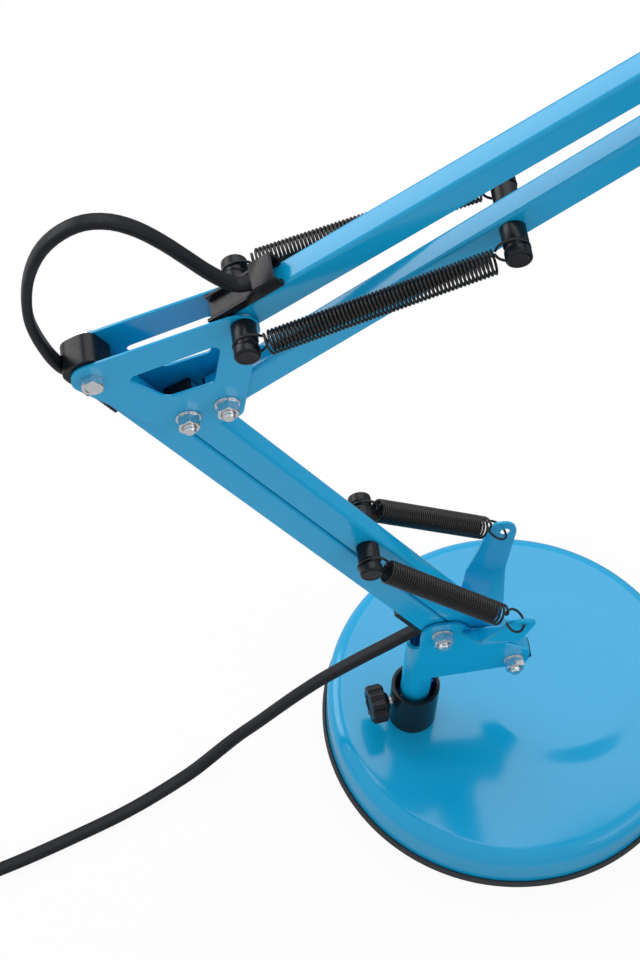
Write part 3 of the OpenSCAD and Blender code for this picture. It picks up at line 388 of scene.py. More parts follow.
@dataclass
class Bench:
    """Builds meshes with bmesh operators and turns them into finished pieces."""

    finishes: Finishes = field(default_factory=Finishes)

    def loft(self, mesh: bmesh.types.BMesh, rings: Sequence[Ring], place: Matrix,
             segments: int = 48, closed: bool = False) -> None:
        """Extrudes a circle through a row of rings about Z.

        Args:
            mesh: the mesh that takes the shape.
            rings: the rings, in millimetres.
            place: where the shape goes in the frame.
            segments: points of a ring.
            closed: whether the last ring joins the first, as on a hollow piece.
        """
        first = bmesh.ops.create_circle(mesh, cap_ends=False, segments=segments, radius=1.0)
        verts = first["verts"]
        edges = list({e for v in verts for e in v.link_edges})
        start_edges, everything = edges, list(verts)
        flip = Matrix.Identity(4)
        for count, ring in enumerate(rings):
            if count:
                out = bmesh.ops.extrude_edge_only(mesh, edges=edges)["geom"]
                verts = [g for g in out if isinstance(g, bmesh.types.BMVert)]
                edges = [g for g in out if isinstance(g, bmesh.types.BMEdge)
                         and g.verts[0] in verts and g.verts[1] in verts]
                everything += verts
            for v in verts:
                angle = math.atan2(v.co.y, v.co.x)
                radius, height = ring(angle)
                v.co = flip @ Vector((radius * math.cos(angle), radius * math.sin(angle), height))
        if closed:
            bmesh.ops.bridge_loops(mesh, edges=start_edges + edges)
        else:
            for loop in (start_edges, edges):
                bmesh.ops.edgeloop_fill(mesh, edges=loop)
        bmesh.ops.transform(mesh, matrix=place @ Matrix.Scale(MM, 4), verts=everything)

    def turned(self, mesh: bmesh.types.BMesh, profile: Sequence[Pair], place: Matrix,
               segments: int = 48, closed: bool = False) -> None:
        """Turns a profile of radius and height about Z."""
        safe = [(max(r, 0.02), z) for r, z in profile]
        self.loft(mesh, [round_ring(r, z) for r, z in safe], place, segments, closed)

    def swept(self, mesh: bmesh.types.BMesh, path: Sequence[Vector], sides: Sequence[Vector],
              half_width: float, half_depth: float, around: int = 12, square: float = 2.0,
              beyond: tuple[Vector | None, Vector | None] = (None, None)) -> None:
        """Extrudes an oval section along a path.

        Args:
            mesh: the mesh that takes the tube.
            path: the middle of each ring, in metres.
            sides: the direction of the section's width at each ring.
            half_width: half the section's width, in metres.
            half_depth: half its depth, in metres.
            around: points of a ring.
            square: 2 for an ellipse, more for a flatter section.
            beyond: points of the same route before and after the path.
        """
        route = [path[0] if beyond[0] is None else beyond[0], *path,
                 path[-1] if beyond[1] is None else beyond[1]]
        verts = bmesh.ops.create_circle(mesh, cap_ends=False, segments=around, radius=1.0)["verts"]
        edges = list({e for v in verts for e in v.link_edges})
        for v in verts:
            angle = math.atan2(v.co.y, v.co.x) + math.pi / around
            radius, _ = oval_ring(half_width, half_depth, 0, square)(angle)
            v.co = Vector((radius * math.cos(angle), radius * math.sin(angle), 0))
        start_edges = edges
        last = Matrix.Identity(4)
        for i, point in enumerate(path):
            t = (route[i + 2] - route[i]).normalized()
            u = (sides[i] - t * sides[i].dot(t)).normalized()
            w = t.cross(u)
            now = Matrix(((u.x, w.x, t.x, point.x), (u.y, w.y, t.y, point.y),
                          (u.z, w.z, t.z, point.z), (0, 0, 0, 1)))
            if i:
                out = bmesh.ops.extrude_edge_only(mesh, edges=edges)["geom"]
                verts = [g for g in out if isinstance(g, bmesh.types.BMVert)]
                fresh = set(verts)
                edges = [g for g in out if isinstance(g, bmesh.types.BMEdge)
                         and g.verts[0] in fresh and g.verts[1] in fresh]
            bmesh.ops.transform(mesh, matrix=now @ last.inverted(), verts=verts)
            last = now
        for loop in (start_edges, edges):
            bmesh.ops.edgeloop_fill(mesh, edges=loop)

    def piece(self, mesh: bmesh.types.BMesh, name: str, finish: Finish, nodes: Sequence[str] = (),
              body: Body | None = None, sharp: float = 34.0, recalc: bool = True) -> bpy.types.Object:
        """Turns a mesh into a finished piece.

        Args:
            mesh: the mesh, which is used up.
            name: the piece's name.
            finish: its finish.
            nodes: the frame's nodes that it stands for.
            body: the body that it rides on; None leaves it on no body.
            sharp: the angle in degrees above which an edge stays sharp.
            recalc: whether faces are turned outwards.

        Returns:
            The new object, at the origin.
        """
        if recalc:
            bmesh.ops.recalc_face_normals(mesh, faces=mesh.faces)
        data = bpy.data.meshes.new(name)
        mesh.to_mesh(data)
        mesh.free()
        data.polygons.foreach_set("use_smooth", [True] * len(data.polygons))
        data.set_sharp_from_angle(angle=math.radians(sharp))
        data.materials.append(self.finishes.material(finish))
        made = bpy.data.objects.new(name, data)
        bpy.context.scene.collection.objects.link(made)
        if nodes:
            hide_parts(*nodes)
        if body:
            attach(made, body.value)
        log.info("%s: %d faces", name, len(data.polygons))
        return made

    def folded(self, node: str, name: str, finish: Finish, body: Body, radius: float = 0.3,
               segments: int = 2, corner: float = 30.0, merge: bool = True) -> bpy.types.Object:
        """Gives a pressed or moulded part the small roundings along its edges.

        Args:
            node: the frame's node, whose merged copy is worked on.
            name: the new piece's name.
            finish: its finish.
            body: the body that it rides on.
            radius: rounding of the edges, in millimetres.
            segments: pieces of each rounding.
            corner: edges that turn by more than this get a rounding.
            merge: whether the triangles of a flat face are joined first.

        Returns:
            The new piece.
        """
        mesh = bmesh.new()
        mesh.from_mesh(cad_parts[node].data)
        bmesh.ops.remove_doubles(mesh, verts=mesh.verts, dist=0.002 * MM)
        if merge:
            bmesh.ops.dissolve_limit(mesh, angle_limit=math.radians(0.6), verts=mesh.verts,
                                     edges=mesh.edges)
        made = self.piece(mesh, name, finish, [node], body, sharp=corner + 4, recalc=False)
        edge = made.modifiers.new("edge_rounding", "BEVEL")
        edge.limit_method = "ANGLE"
        edge.angle_limit = math.radians(corner)
        edge.width = radius * MM
        edge.segments = segments
        edge.use_clamp_overlap = True
        edge.harden_normals = True
        return made

    def dress(self, node: str, finish: Finish) -> None:
        """Gives a node that stays as it is its finish."""
        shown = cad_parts[node]
        shown.data.materials.clear()
        shown.data.materials.append(self.finishes.material(finish))


# ---------------------------------------------------------------- the arm's places


@dataclass(frozen=True)
class Linkage:
    """Sizes of the arm and the places of its pivots, in millimetres from the post's foot."""

    front_foot: Vector = Vector((6.8, 112.4))
    pair_gap: float = 46.2
    pair_slope: float = -40
    lower_len: float = 268.8
    lower_angle: float = 123.5
    upper_len: float = 269
    boom_angle: float = 41.8
    top_angle: float = 40
    cheek_out: float = 7.1
    plate_out: float = 7.6
    peg_out: float = 5.1
    ear_root: float = 113
    ear_bend: float = 16.1
    ear_flare: float = 50
    ear_hole: Pair = (37.3, 39.3)
    ear_lean: float = 12

    @property
    def rear_foot(self) -> Vector:
        """Rear bar's pivot in the yoke."""
        return self.front_foot + self.pair_gap * aim(self.pair_slope)

    @property
    def front_top(self) -> Vector:
        """Front bar's pivot in the elbow."""
        return self.front_foot + self.lower_len * aim(self.lower_angle)

    @property
    def rear_top(self) -> Vector:
        """Rear bar's pivot in the elbow."""
        return self.front_top + self.pair_gap * aim(self.pair_slope)

    @property
    def boom_foot(self) -> Vector:
        """Boom's pivot in the elbow."""
        return self.front_top + 55.1 * aim(-24.5)

    @property
    def top_foot(self) -> Vector:
        """Top bar's pivot in the elbow, which also carries the upper springs."""
        return self.front_top + 61.5 * aim(25.3)

    @property
    def boom_end(self) -> Vector:
        """Boom's pivot in the head."""
        return self.boom_foot + self.upper_len * aim(self.boom_angle)

    @property
    def top_end(self) -> Vector:
        """Top bar's pivot in the head."""
        return self.top_foot + self.upper_len * aim(self.top_angle)

    @property
    def tilt_pin(self) -> Vector:
        """The shade's tilt pivot."""
        return self.boom_end + Vector((54, 6))

    @property
    def lower_peg(self) -> Vector:
        """Peg of a lower spring on the rear bar."""
        return self.rear_foot + 133 * aim(self.lower_angle)

    @property
    def boom_peg(self) -> Vector:
        """Peg of an upper spring on the boom."""
        return self.boom_foot + 135 * aim(self.boom_angle)


ARM = Linkage()


def across(at: Vector, y: float = 0.0, side: Side = Side.FAR) -> Matrix:
    """Frame whose Z points out of the arm's plane on one side, at a pivot.

    Args:
        at: the pivot, as X and Z.
        y: how far along Y it starts, before the side is applied.
        side: the side that Z points to.

    Returns:
        The frame's matrix, in metres.
    """
    turn = Matrix.Rotation(math.radians(-90 * side.value), 4, "X")
    return Matrix.Translation(foot(at.x, y * side.value, at.y)) @ turn


# ---------------------------------------------------------------- flex


@dataclass
class Flex:
    """The flat twin flex: its lead with coil and plug, the elbow's loop and the head's run."""

    bench: Bench
    width: float = 6.3
    depth: float = 3.9
    turns: float = 6.25
    inner: float = 26.4
    straight: float = 7.0
    tail_len: float = 84.0
    plug_h: float = 13.6
    stub_points: int = 6
    lead_route: tuple[Triple, ...] = (
        (0.3, 0, 110.4), (-4, 0, 107.4), (-9, 0, 102.9), (-16, 0, 96.4), (-25, 0, 88.4),
        (-35, 0, 79), (-45.6, 0, 68.4), (-55, 0, 57.2), (-63.6, 0, 46), (-73, 0, 33.2),
        (-82, 0, 21.6), (-89.3, -1.2, 13.6), (-96.7, -3.7, 7.6), (-104.3, -7.2, 3.8),
        (-112, -11, 2.3), (-122, -16.3, 2.1), (-132, -21.3, 2.1), (-142, -25.8, 2.1),
        (-152, -29.8, 2.1), (-164, -34.3, 2.1), (-176, -38.7, 2.1), (-188, -42.9, 2.1),
        (-200, -46.7, 2.1), (-212, -50.4, 2.1), (-224, -53.6, 2.1), (-236, -56.2, 2.2),
        (-246, -57.8, 2.3), (-254, -58.6, 2.4), (-260, -58.8, 2.5), (-266, -58.8, 2.5))
    loop_route: tuple[Pair, ...] = (
        (-146.6, 334.6), (-149.2, 335.2), (-151.6, 336.8), (-154, 340.6), (-156.8, 347),
        (-160.4, 358.6), (-162.4, 370), (-162.2, 384), (-160, 397), (-155.5, 408.4),
        (-148.6, 416.6), (-140.5, 420.8), (-131.5, 420), (-122.5, 414.6), (-113.6, 405.8),
        (-105.6, 396.2), (-98.6, 387.6), (-92.4, 381.3), (-87, 377.9), (-82.2, 378.8),
        (-78.5, 381.5))
    head_steps: tuple[Pair, ...] = (
        (14.8, -28.9), (14.8, -14), (15, 0), (14.4, 16), (12, 30), (6.5, 41), (-2, 49),
        (-12, 52.5), (-22, 51.6), (-31, 46.7))
    tail_steps: tuple[Pair, ...] = (
        (12, 5.9), (22, 4.6), (32, 3.1), (42, 2.2), (52, 2.3), (61, 3.7), (69, 5.6), (77, 6.8),
        (84, 6.8))

    @staticmethod
    def _eased(points: Sequence[Vector], parts: int = 3) -> list[Vector]:
        """Smooth curve through points, each step cut into parts."""
        out: list[Vector] = []
        for i in range(len(points) - 1):
            a = points[max(i - 1, 0)]
            b, c = points[i], points[i + 1]
            d = points[min(i + 2, len(points) - 1)]
            for k in range(parts):
                t = k / parts
                out.append(0.5 * ((2 * b) + (c - a) * t + (2 * a - 5 * b + 4 * c - d) * t * t
                                  + (3 * b - a - 3 * c + d) * t * t * t))
        out.append(points[-1].copy())
        return out

    @staticmethod
    def _length(path: Sequence[Vector]) -> float:
        """Length of a path in metres."""
        return sum((b - a).length for a, b in zip(path, path[1:]))

    def _coil_point(self, turn: float) -> Triple:
        """Point of the coil: it winds in along the table, climbs, and winds out above."""
        step, middle = self.width + 0.6, self.turns / 2
        start = self.lead_route[-1]
        outer = self.inner + step * middle
        radius = self.inner + step * abs(turn - middle)
        height = start[2] + (self.depth + 0.5) * clamp((turn - middle + 0.25) * 2, 0, 1)
        angle = math.radians(-90 - 360 * turn)
        return (start[0] - self.straight + radius * math.cos(angle),
                start[1] + outer + radius * math.sin(angle), height)

    def _tube(self, name: str, path: list[Vector], sides: Sequence[Vector], nodes: Sequence[str],
              before: Vector | None = None, after: Vector | None = None) -> bpy.types.Object:
        """Flat tube along a path, whose ends face the route's points before and after it."""
        mesh = bmesh.new()
        self.bench.swept(mesh, path, sides, self.width / 2 * MM, self.depth / 2 * MM, 16, 3.2,
                         (before, after))
        return self.bench.piece(mesh, name, SHEATH, nodes, None, sharp=50)

    def _level(self, path: Sequence[Vector]) -> list[Vector]:
        """Width direction of a flex that lies level."""
        sides = []
        for i in range(len(path)):
            t = path[min(i + 1, len(path) - 1)] - path[max(i - 1, 0)]
            sides.append(Vector((-t.y, t.x, 0)).normalized())
        return sides

    def lead(self) -> None:
        """The lead from the front bar's foot over the table to its coil, tie and plug."""
        route = [foot(*p) for p in self.lead_route]
        path = self._eased(route)
        split = (self.stub_points - 1) * 3
        stub = path[:split + 1]
        first = self._tube("flex_exit", stub, self._level(stub), [], after=path[split + 1])
        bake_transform(first)
        rest = path[split:]
        steps = round(self.turns * 36)
        rest += [foot(*self._coil_point(self.turns * i / steps)) for i in range(steps + 1)]
        outer = self.inner + (self.width + 0.6) * self.turns / 2
        middle = (self.lead_route[-1][0] - self.straight, self.lead_route[-1][1] + outer)
        tail = [rest[-1]] + [foot(middle[0] - outer, middle[1] + y, z)
                             for y, z in self.tail_steps]
        rest += self._eased(tail)[1:]
        second = self._tube("flex_lead_and_coil", rest, self._level(rest),
                            ["flex_lead", "flex_coil"], path[split - 1])
        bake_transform(second)
        self.plug(middle[0] - outer, middle[1] + self.tail_len)
        tie = self.bench.folded("coil_tie", "coil_tie_band", TIE, Body.BASE, 0.12)
        log.info("lead %.3f m", self._length(stub) + self._length(rest))

    def plug(self, x: float, y: float) -> None:
        """Flat two-pin plug.

        Args:
            x: middle of the plug in millimetres from the post's foot.
            y: its near end.
        """
        place = Matrix.Translation(foot(x, y, self.plug_h / 2)) \
            @ Matrix.Rotation(math.radians(-90), 4, "X")
        half = self.plug_h / 2 - 0.05
        rings = [oval_ring(4.0, 3.2, 0), oval_ring(4.2, 3.4, 0.5)]
        for k in range(5):
            low = 1 + 4.2 * k
            grow = 4.2 + 0.6 * k
            rings += [oval_ring(grow, grow * 0.84, low), oval_ring(grow, grow * 0.84, low + 2.2),
                      oval_ring(grow - 0.7, grow * 0.84 - 0.7, low + 2.7),
                      oval_ring(grow - 0.7, grow * 0.84 - 0.7, low + 3.9)]
        rings += [oval_ring(7.5, half - 0.8, 23, 2.8), oval_ring(12, half, 27, 3.0),
                  oval_ring(15.4, half, 31, 3.0), oval_ring(16.8, half, 36, 3.0),
                  oval_ring(16.9, half, 50, 3.0), oval_ring(16.6, half - 0.1, 54.6, 3.0),
                  oval_ring(16.2, half - 0.5, 55.6, 3.0), oval_ring(15.4, half - 1.2, 56, 3.0)]
        mesh = bmesh.new()
        self.bench.loft(mesh, rings, place, 64)
        body = self.bench.piece(mesh, "plug_moulding", PLUG, ["plug_body"], Body.BASE, sharp=40)
        body.data.validate()
        pins = bmesh.new()
        profile = soft_profile([(0.02, -10, 0), (2, -10, 0), (2, 19, 1.6), (0.02, 19, 0)], 5)
        for side in Side:
            self.bench.turned(pins, profile, place @ Matrix.Translation(
                Vector((9.3 * side.value, 0, 56)) * MM), 24)
        self.bench.piece(pins, "plug_prongs", ZINC, ["plug_pins"], Body.BASE)

    def loop(self) -> None:
        """The free loop over the elbow, in two halves that meet at its top."""
        route = [foot(x, 0, z) for x, z in self.loop_route]
        path = self._eased(route)
        middle = 10 * 3
        near, far = path[:middle + 1], path[middle:]
        wide = Vector((0, 1, 0))
        first = self._tube("flex_loop_lower", near, [wide] * len(near), ["flex_loop"],
                           after=far[1])
        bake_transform(first)
        second = self._tube("flex_loop_upper", far, [wide] * len(far), [], near[-2])
        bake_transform(second)
        log.info("loop %.3f m", self._length(path))

    def head(self) -> None:
        """The run from the top bar's end over the head to the shade's gland."""
        route = [foot(ARM.tilt_pin.x + x, 0, ARM.tilt_pin.y + z) for x, z in self.head_steps]
        end = ARM.top_end + (6 + 1.2 + 0.1) * aim(ARM.top_angle)
        path = self._eased(route + [foot(end.x, 0, end.y)])[::-1]
        made = self._tube("flex_over_head", path, [Vector((0, 1, 0))] * len(path), ["flex_head"])
        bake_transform(made)
        log.info("head run %.3f m", self._length(path))

    def build(self) -> None:
        """Builds every stretch."""
        self.lead()
        self.loop()
        self.head()
        for node in ("flex_in_front_bar", "flex_in_top_bar"):
            self.bench.dress(node, SHEATH)


# ---------------------------------------------------------------- springs and pegs


@dataclass
class Springs:
    """The four tension springs and the pegs that hold them."""

    bench: Bench
    peg_len: float = 14.3
    stem_share: float = 0.56
    coil_aside: float = 2.1
    peg_r: float = 4.8
    groove_r: float = 4.0
    upper_turns: int = 58
    lower_turns: int = 47
    upper_r: float = 4.8
    lower_r: float = 5.3
    upper_wire: float = 0.525
    lower_wire: float = 0.575
    loop_r: float = 6.2
    rings: int = 14

    @property
    def groove(self) -> float:
        """Middle of the peg's groove, from the face that the peg stands on."""
        return self.stem_share * self.peg_len + 0.9

    def _coil(self, a: Vector, b: Vector, mean: float, turns: int, lead: Pair,
              side: Vector, loose: Sequence[float] = ()) -> list[Vector]:
        """Close-wound coil between two hooks.

        Args:
            a: middle of the peg's groove, in millimetres.
            b: where the other end is held.
            mean: mean radius.
            turns: number of turns.
            lead: free length before and after the coil.
            side: direction of the coil's first point.
            loose: pitch of the last turns, as a share of the others'.

        Returns:
            Points of the wire's middle, in millimetres.
        """
        d = (b - a).normalized()
        u = (side - d * side.dot(d)).normalized()
        w = d.cross(u)
        body = (b - a).length - sum(lead)
        weights = [1.0] * (turns - len(loose)) + list(loose)
        total = sum(weights)
        points, run = [], 0.0
        for turn in range(turns):
            pitch = body * weights[turn] / total
            for k in range(self.rings):
                angle = 2 * math.pi * k / self.rings
                along = lead[0] + run + pitch * k / self.rings
                points.append(a + d * along
                              + mean * (math.cos(angle) * u + math.sin(angle) * w))
            run += pitch
        points.append(b - d * lead[1] + mean * u)
        return points

    @staticmethod
    def _hook(centre: Vector, d: Vector, side: Vector, radius: float, start: float, end: float,
              count: int = 20) -> list[Vector]:
        """Round hook about a centre: angles count from d towards side, in degrees."""
        out = []
        for k in range(count + 1):
            angle = math.radians(start + (end - start) * k / count)
            out.append(centre + radius * (math.cos(angle) * d + math.sin(angle) * side))
        return out

    @staticmethod
    def _bridge(points: list[Vector], more: list[Vector]) -> list[Vector]:
        """Joins two runs of wire with a soft bend."""
        a, b = points[-1], more[0]
        ta = (points[-1] - points[-2]).normalized()
        tb = (more[1] - more[0]).normalized()
        reach = (b - a).length * 0.55
        curve = []
        for k in range(1, 8):
            t = k / 8
            curve.append((1 - t) ** 3 * a + 3 * (1 - t) ** 2 * t * (a + ta * reach)
                         + 3 * (1 - t) * t * t * (b - tb * reach) + t ** 3 * b)
        return points + curve + more

    def _wire(self, name: str, points: Sequence[Vector], radius: float, node: str,
              bodies: tuple[Body, Body], lead: Pair) -> None:
        """Sweeps the wire and lets it stretch between its two bodies.

        Args:
            name: the piece's name.
            points: the wire's middle in millimetres from the post's foot.
            radius: its radius in millimetres.
            node: the node that it stands for.
            bodies: the bodies of its first and last end; not used.
            lead: shares of its length where the stretch starts and ends; not used.
        """
        path = [foot(*p) for p in points]
        sides = [Vector((0.0, 1.0, 0.3)).normalized()]
        for i in range(1, len(path)):
            t = (path[min(i + 1, len(path) - 1)] - path[i - 1]).normalized()
            v = sides[-1] - t * sides[-1].dot(t)
            sides.append(v.normalized())
        mesh = bmesh.new()
        self.bench.swept(mesh, path, sides, radius * MM, radius * MM, 7)
        made = self.bench.piece(mesh, name, SPRING, [node], None, sharp=70)
        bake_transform(made)

    def upper(self, side: Side) -> None:
        """A spring from the elbow's peg to the boom's peg."""
        s = side.value
        a = Vector((ARM.top_foot.x, s * (ARM.plate_out + self.groove), ARM.top_foot.y))
        b = Vector((ARM.boom_peg.x, s * (ARM.peg_out + self.groove), ARM.boom_peg.y))
        d = (b - a).normalized()
        flat = Vector((d.x, 0, d.z)).normalized()
        rise = Vector((-flat.z, 0, flat.x))
        wire = self.upper_wire
        shift = self.loop_r - self.groove_r - wire - 0.05
        first = self._hook(a + flat * shift, flat, rise, self.loop_r, -335, 0, 30)
        out = Vector((0, s * self.coil_aside, 0))
        coil = self._coil(a + out, b + out, self.upper_r - wire, self.upper_turns, (8.6, 8.6),
                          rise)
        last = self._hook(b - flat * shift, flat, rise, self.loop_r, 180, 515, 30)
        points = self._bridge(self._bridge(first, coil), last)
        self._wire(f"upper_spring_{side.name.lower()}_wire", points, wire,
                   f"upper_spring_{side.name.lower()}", (Body.ELBOW, Body.BOOM), (0.04, 0.5))

    def lower(self, side: Side) -> None:
        """A spring from the rear bar's peg to the yoke's ear."""
        s = side.value
        a = Vector((ARM.lower_peg.x, s * (ARM.peg_out + self.groove), ARM.lower_peg.y))
        flare, lean = math.radians(ARM.ear_flare), math.radians(ARM.ear_lean)
        rest = ARM.ear_hole[1] - ARM.ear_bend
        b = Vector((ARM.ear_hole[0],
                    s * (ARM.cheek_out - 0.65 + ARM.ear_bend * math.sin(flare)
                         + rest * math.sin(lean)),
                    ARM.ear_root + ARM.ear_bend * math.cos(flare) + rest * math.cos(lean)))
        d = (b - a).normalized()
        flat = Vector((d.x, 0, d.z)).normalized()
        rise = Vector((-flat.z, 0, flat.x))
        wire = self.lower_wire
        shift = self.loop_r - self.groove_r - wire - 0.05
        first = self._hook(a + flat * shift, flat, rise, self.loop_r, -335, 0, 30)
        coil = self._coil(a, b, self.lower_r - wire, self.lower_turns, (9.0, 13.0), rise,
                          (1.3, 1.5, 1.7))
        normal = Vector((0, -s * math.cos(lean), math.sin(lean)))
        wing = (normal - d * normal.dot(d)).normalized()
        last = self._hook(b - d * 5.2, d, wing, 5.2, 150, -150, 26)
        points = self._bridge(self._bridge(first, coil), last)
        self._wire(f"lower_spring_{side.name.lower()}_wire", points, wire,
                   f"lower_spring_{side.name.lower()}", (Body.REAR, Body.YOKE), (0.2, 0.94))

    def pegs(self, at: Vector, out: float, name: str, node: str, body: Body) -> None:
        """The two grooved pegs of one pivot or bar.

        Args:
            at: their place, as X and Z.
            out: distance of the face that they stand on from the arm's plane.
            name: the piece's name.
            node: the node that it stands for.
            body: the body that it rides on.
        """
        top = self.peg_len
        stem = self.stem_share * top
        profile = soft_profile([
            (2.6, 0.02, 0), (self.peg_r, 0.02, 0.15), (self.peg_r, stem - 0.3, 0.5),
            (self.groove_r + 0.05, stem + 0.15, 0.3), (self.groove_r + 0.05, stem + 1.65, 0.3),
            (self.peg_r + 0.15, stem + 2.0, 0.5), (self.peg_r + 0.15, top, 1.1),
            (3.4, top, 0.4), (3.2, top - 0.15, 0.2), (0.02, top - 0.1, 0)], 4)
        mesh = bmesh.new()
        for side in Side:
            self.bench.turned(mesh, profile, across(at, out, side), 40)
        self.bench.piece(mesh, name, BLACK, [node], body, sharp=50)

    def build(self) -> None:
        """Builds the springs and their pegs."""
        for side in Side:
            self.upper(side)
            self.lower(side)
        self.pegs(ARM.lower_peg, ARM.peg_out, "lower_spring_pegs", "lower_pegs", Body.REAR)
        self.pegs(ARM.boom_peg, ARM.peg_out, "boom_spring_pegs", "boom_pegs", Body.BOOM)
        self.pegs(ARM.top_foot, ARM.plate_out, "elbow_spring_pegs", "elbow_pegs", Body.ELBOW)


# ---------------------------------------------------------------- fasteners


@dataclass
class Fasteners:
    """Bolts, washers and nuts of the pivots."""

    bench: Bench
    flats: float = 8.0
    shank: float = 2.5
    nut_t: float = 4.0
    thread_pitch: float = 0.8
    tip: float = 2.0

    def _head(self, mesh: bmesh.types.BMesh, place: Matrix) -> None:
        """Hexagon head with a washer face and a shallow dished top."""
        f = self.flats
        rings = [round_ring(3.6, 0), hex_ring(f, 0.05), hex_ring(f, 3.5, 0.62),
                 round_ring(f * 0.485, 3.5), round_ring(f * 0.36, 3.44), round_ring(f * 0.31, 3.2),
                 round_ring(0.05, 3.16)]
        self.bench.loft(mesh, rings, place, 72)

    def _nut(self, mesh: bmesh.types.BMesh, place: Matrix) -> None:
        """Hexagon nut on a plain washer and a toothed one."""
        f = self.flats
        inner = self.shank + 0.02
        washer = soft_profile([(inner, 0.02, 0), (4.9, 0.02, 0.12), (4.9, 0.62, 0.15),
                               (inner, 0.62, 0)], 3)
        self.bench.turned(mesh, washer, place, 56)
        teeth = [lobed_ring(4.45, 0.5, 14, 0.64), lobed_ring(4.45, 0.5, 14, 0.98),
                 round_ring(inner, 0.98)]
        self.bench.loft(mesh, [round_ring(inner, 0.64)] + teeth, place, 84)
        low, high = 1.0, 1.0 + self.nut_t
        rings = [round_ring(inner, low), round_ring(f * 0.47, low), hex_ring(f, low + 0.02),
                 hex_ring(f, high, 0.62), round_ring(f * 0.485, high),
                 round_ring(inner + 0.45, high), round_ring(inner, high - 0.4)]
        self.bench.loft(mesh, rings, place, 72, closed=True)

    def _thread(self, mesh: bmesh.types.BMesh, place: Matrix, low: float, high: float) -> None:
        """Threaded end of a bolt, between two heights."""
        profile: list[Pair] = [(0.02, low), (self.shank, low)]
        turns = int((high - low - 0.8) / self.thread_pitch)
        for k in range(turns):
            z = low + self.thread_pitch * k
            profile += [(self.shank, z + 0.15), (self.shank - 0.34, z + 0.5),
                        (self.shank, z + 0.8)]
        profile += [(self.shank, high - 0.7), (self.shank - 0.6, high), (0.02, high)]
        self.bench.turned(mesh, profile, place, 28)

    def _shank(self, mesh: bmesh.types.BMesh, place: Matrix, reach: float) -> None:
        """Plain shank through the arm."""
        self.bench.turned(mesh, [(0.02, -reach), (self.shank, -reach), (self.shank, 0.2),
                                 (0.02, 0.2)], place, 28)

    def joint(self, bolts: bmesh.types.BMesh, nuts: bmesh.types.BMesh, at: Vector, seat: float,
              nut_side: Side) -> None:
        """One bolt with its nut.

        Args:
            bolts: the mesh of the body's bolts.
            nuts: the mesh of its nuts.
            at: the pivot, as X and Z.
            seat: distance of the outer faces from the arm's plane.
            nut_side: the side that the nut is on.
        """
        head_side = Side.FAR if nut_side is Side.NEAR else Side.NEAR
        self._head(bolts, across(at, seat, head_side))
        self._shank(bolts, across(at, seat, head_side), 2 * seat)
        self._thread(bolts, across(at, seat, nut_side), 0, self.nut_t + 1 + self.tip)
        self._nut(nuts, across(at, seat, nut_side))

    def group(self, name: str, body: Body, seat: float, pivots: Sequence[tuple[Vector, Side]],
              extra: Callable[[bmesh.types.BMesh], None] | None = None) -> None:
        """The bolts and the nuts of one body.

        Args:
            name: first part of the nodes' names.
            body: the body that they ride on.
            seat: distance of the outer faces from the arm's plane.
            pivots: the pivots and the side of each nut.
            extra: adds further bolts to the bolts' mesh.
        """
        bolts, nuts = bmesh.new(), bmesh.new()
        for at, side in pivots:
            self.joint(bolts, nuts, at, seat, side)
        if extra:
            extra(bolts)
        self.bench.piece(bolts, f"{name}_hex_bolts", ZINC, [f"{name}_bolts"], body, sharp=25)
        self.bench.piece(nuts, f"{name}_hex_nuts", ZINC, [f"{name}_nuts"], body, sharp=25)

    def _peg_bolt(self, mesh: bmesh.types.BMesh) -> None:
        """The plain pin under the elbow's two pegs."""
        reach = ARM.plate_out + 4.5
        self.bench.turned(mesh, [(0.02, -2 * reach), (self.shank, -2 * reach), (self.shank, 0),
                                 (0.02, 0)], across(ARM.top_foot, reach, Side.FAR), 28)

    def _tilt_bolt(self, mesh: bmesh.types.BMesh) -> None:
        """The tilt pivot's bolt, whose end carries the hand nut."""
        self._head(mesh, across(ARM.tilt_pin, ARM.plate_out, Side.FAR))
        self._shank(mesh, across(ARM.tilt_pin, ARM.plate_out, Side.FAR), 2 * ARM.plate_out)
        self._thread(mesh, across(ARM.tilt_pin, ARM.plate_out, Side.NEAR), 0, 10)

    def build(self) -> None:
        """Builds the fasteners of the yoke, the elbow and the head."""
        near, far = Side.NEAR, Side.FAR
        self.group("yoke", Body.YOKE, ARM.cheek_out,
                   [(ARM.front_foot, near), (ARM.rear_foot, near)])
        self.group("elbow", Body.ELBOW, ARM.plate_out,
                   [(ARM.front_top, far), (ARM.rear_top, near), (ARM.boom_foot, near)],
                   self._peg_bolt)
        self.group("head", Body.HEAD, ARM.plate_out,
                   [(ARM.boom_end, near), (ARM.top_end, near)], self._tilt_bolt)


# ---------------------------------------------------------------- base


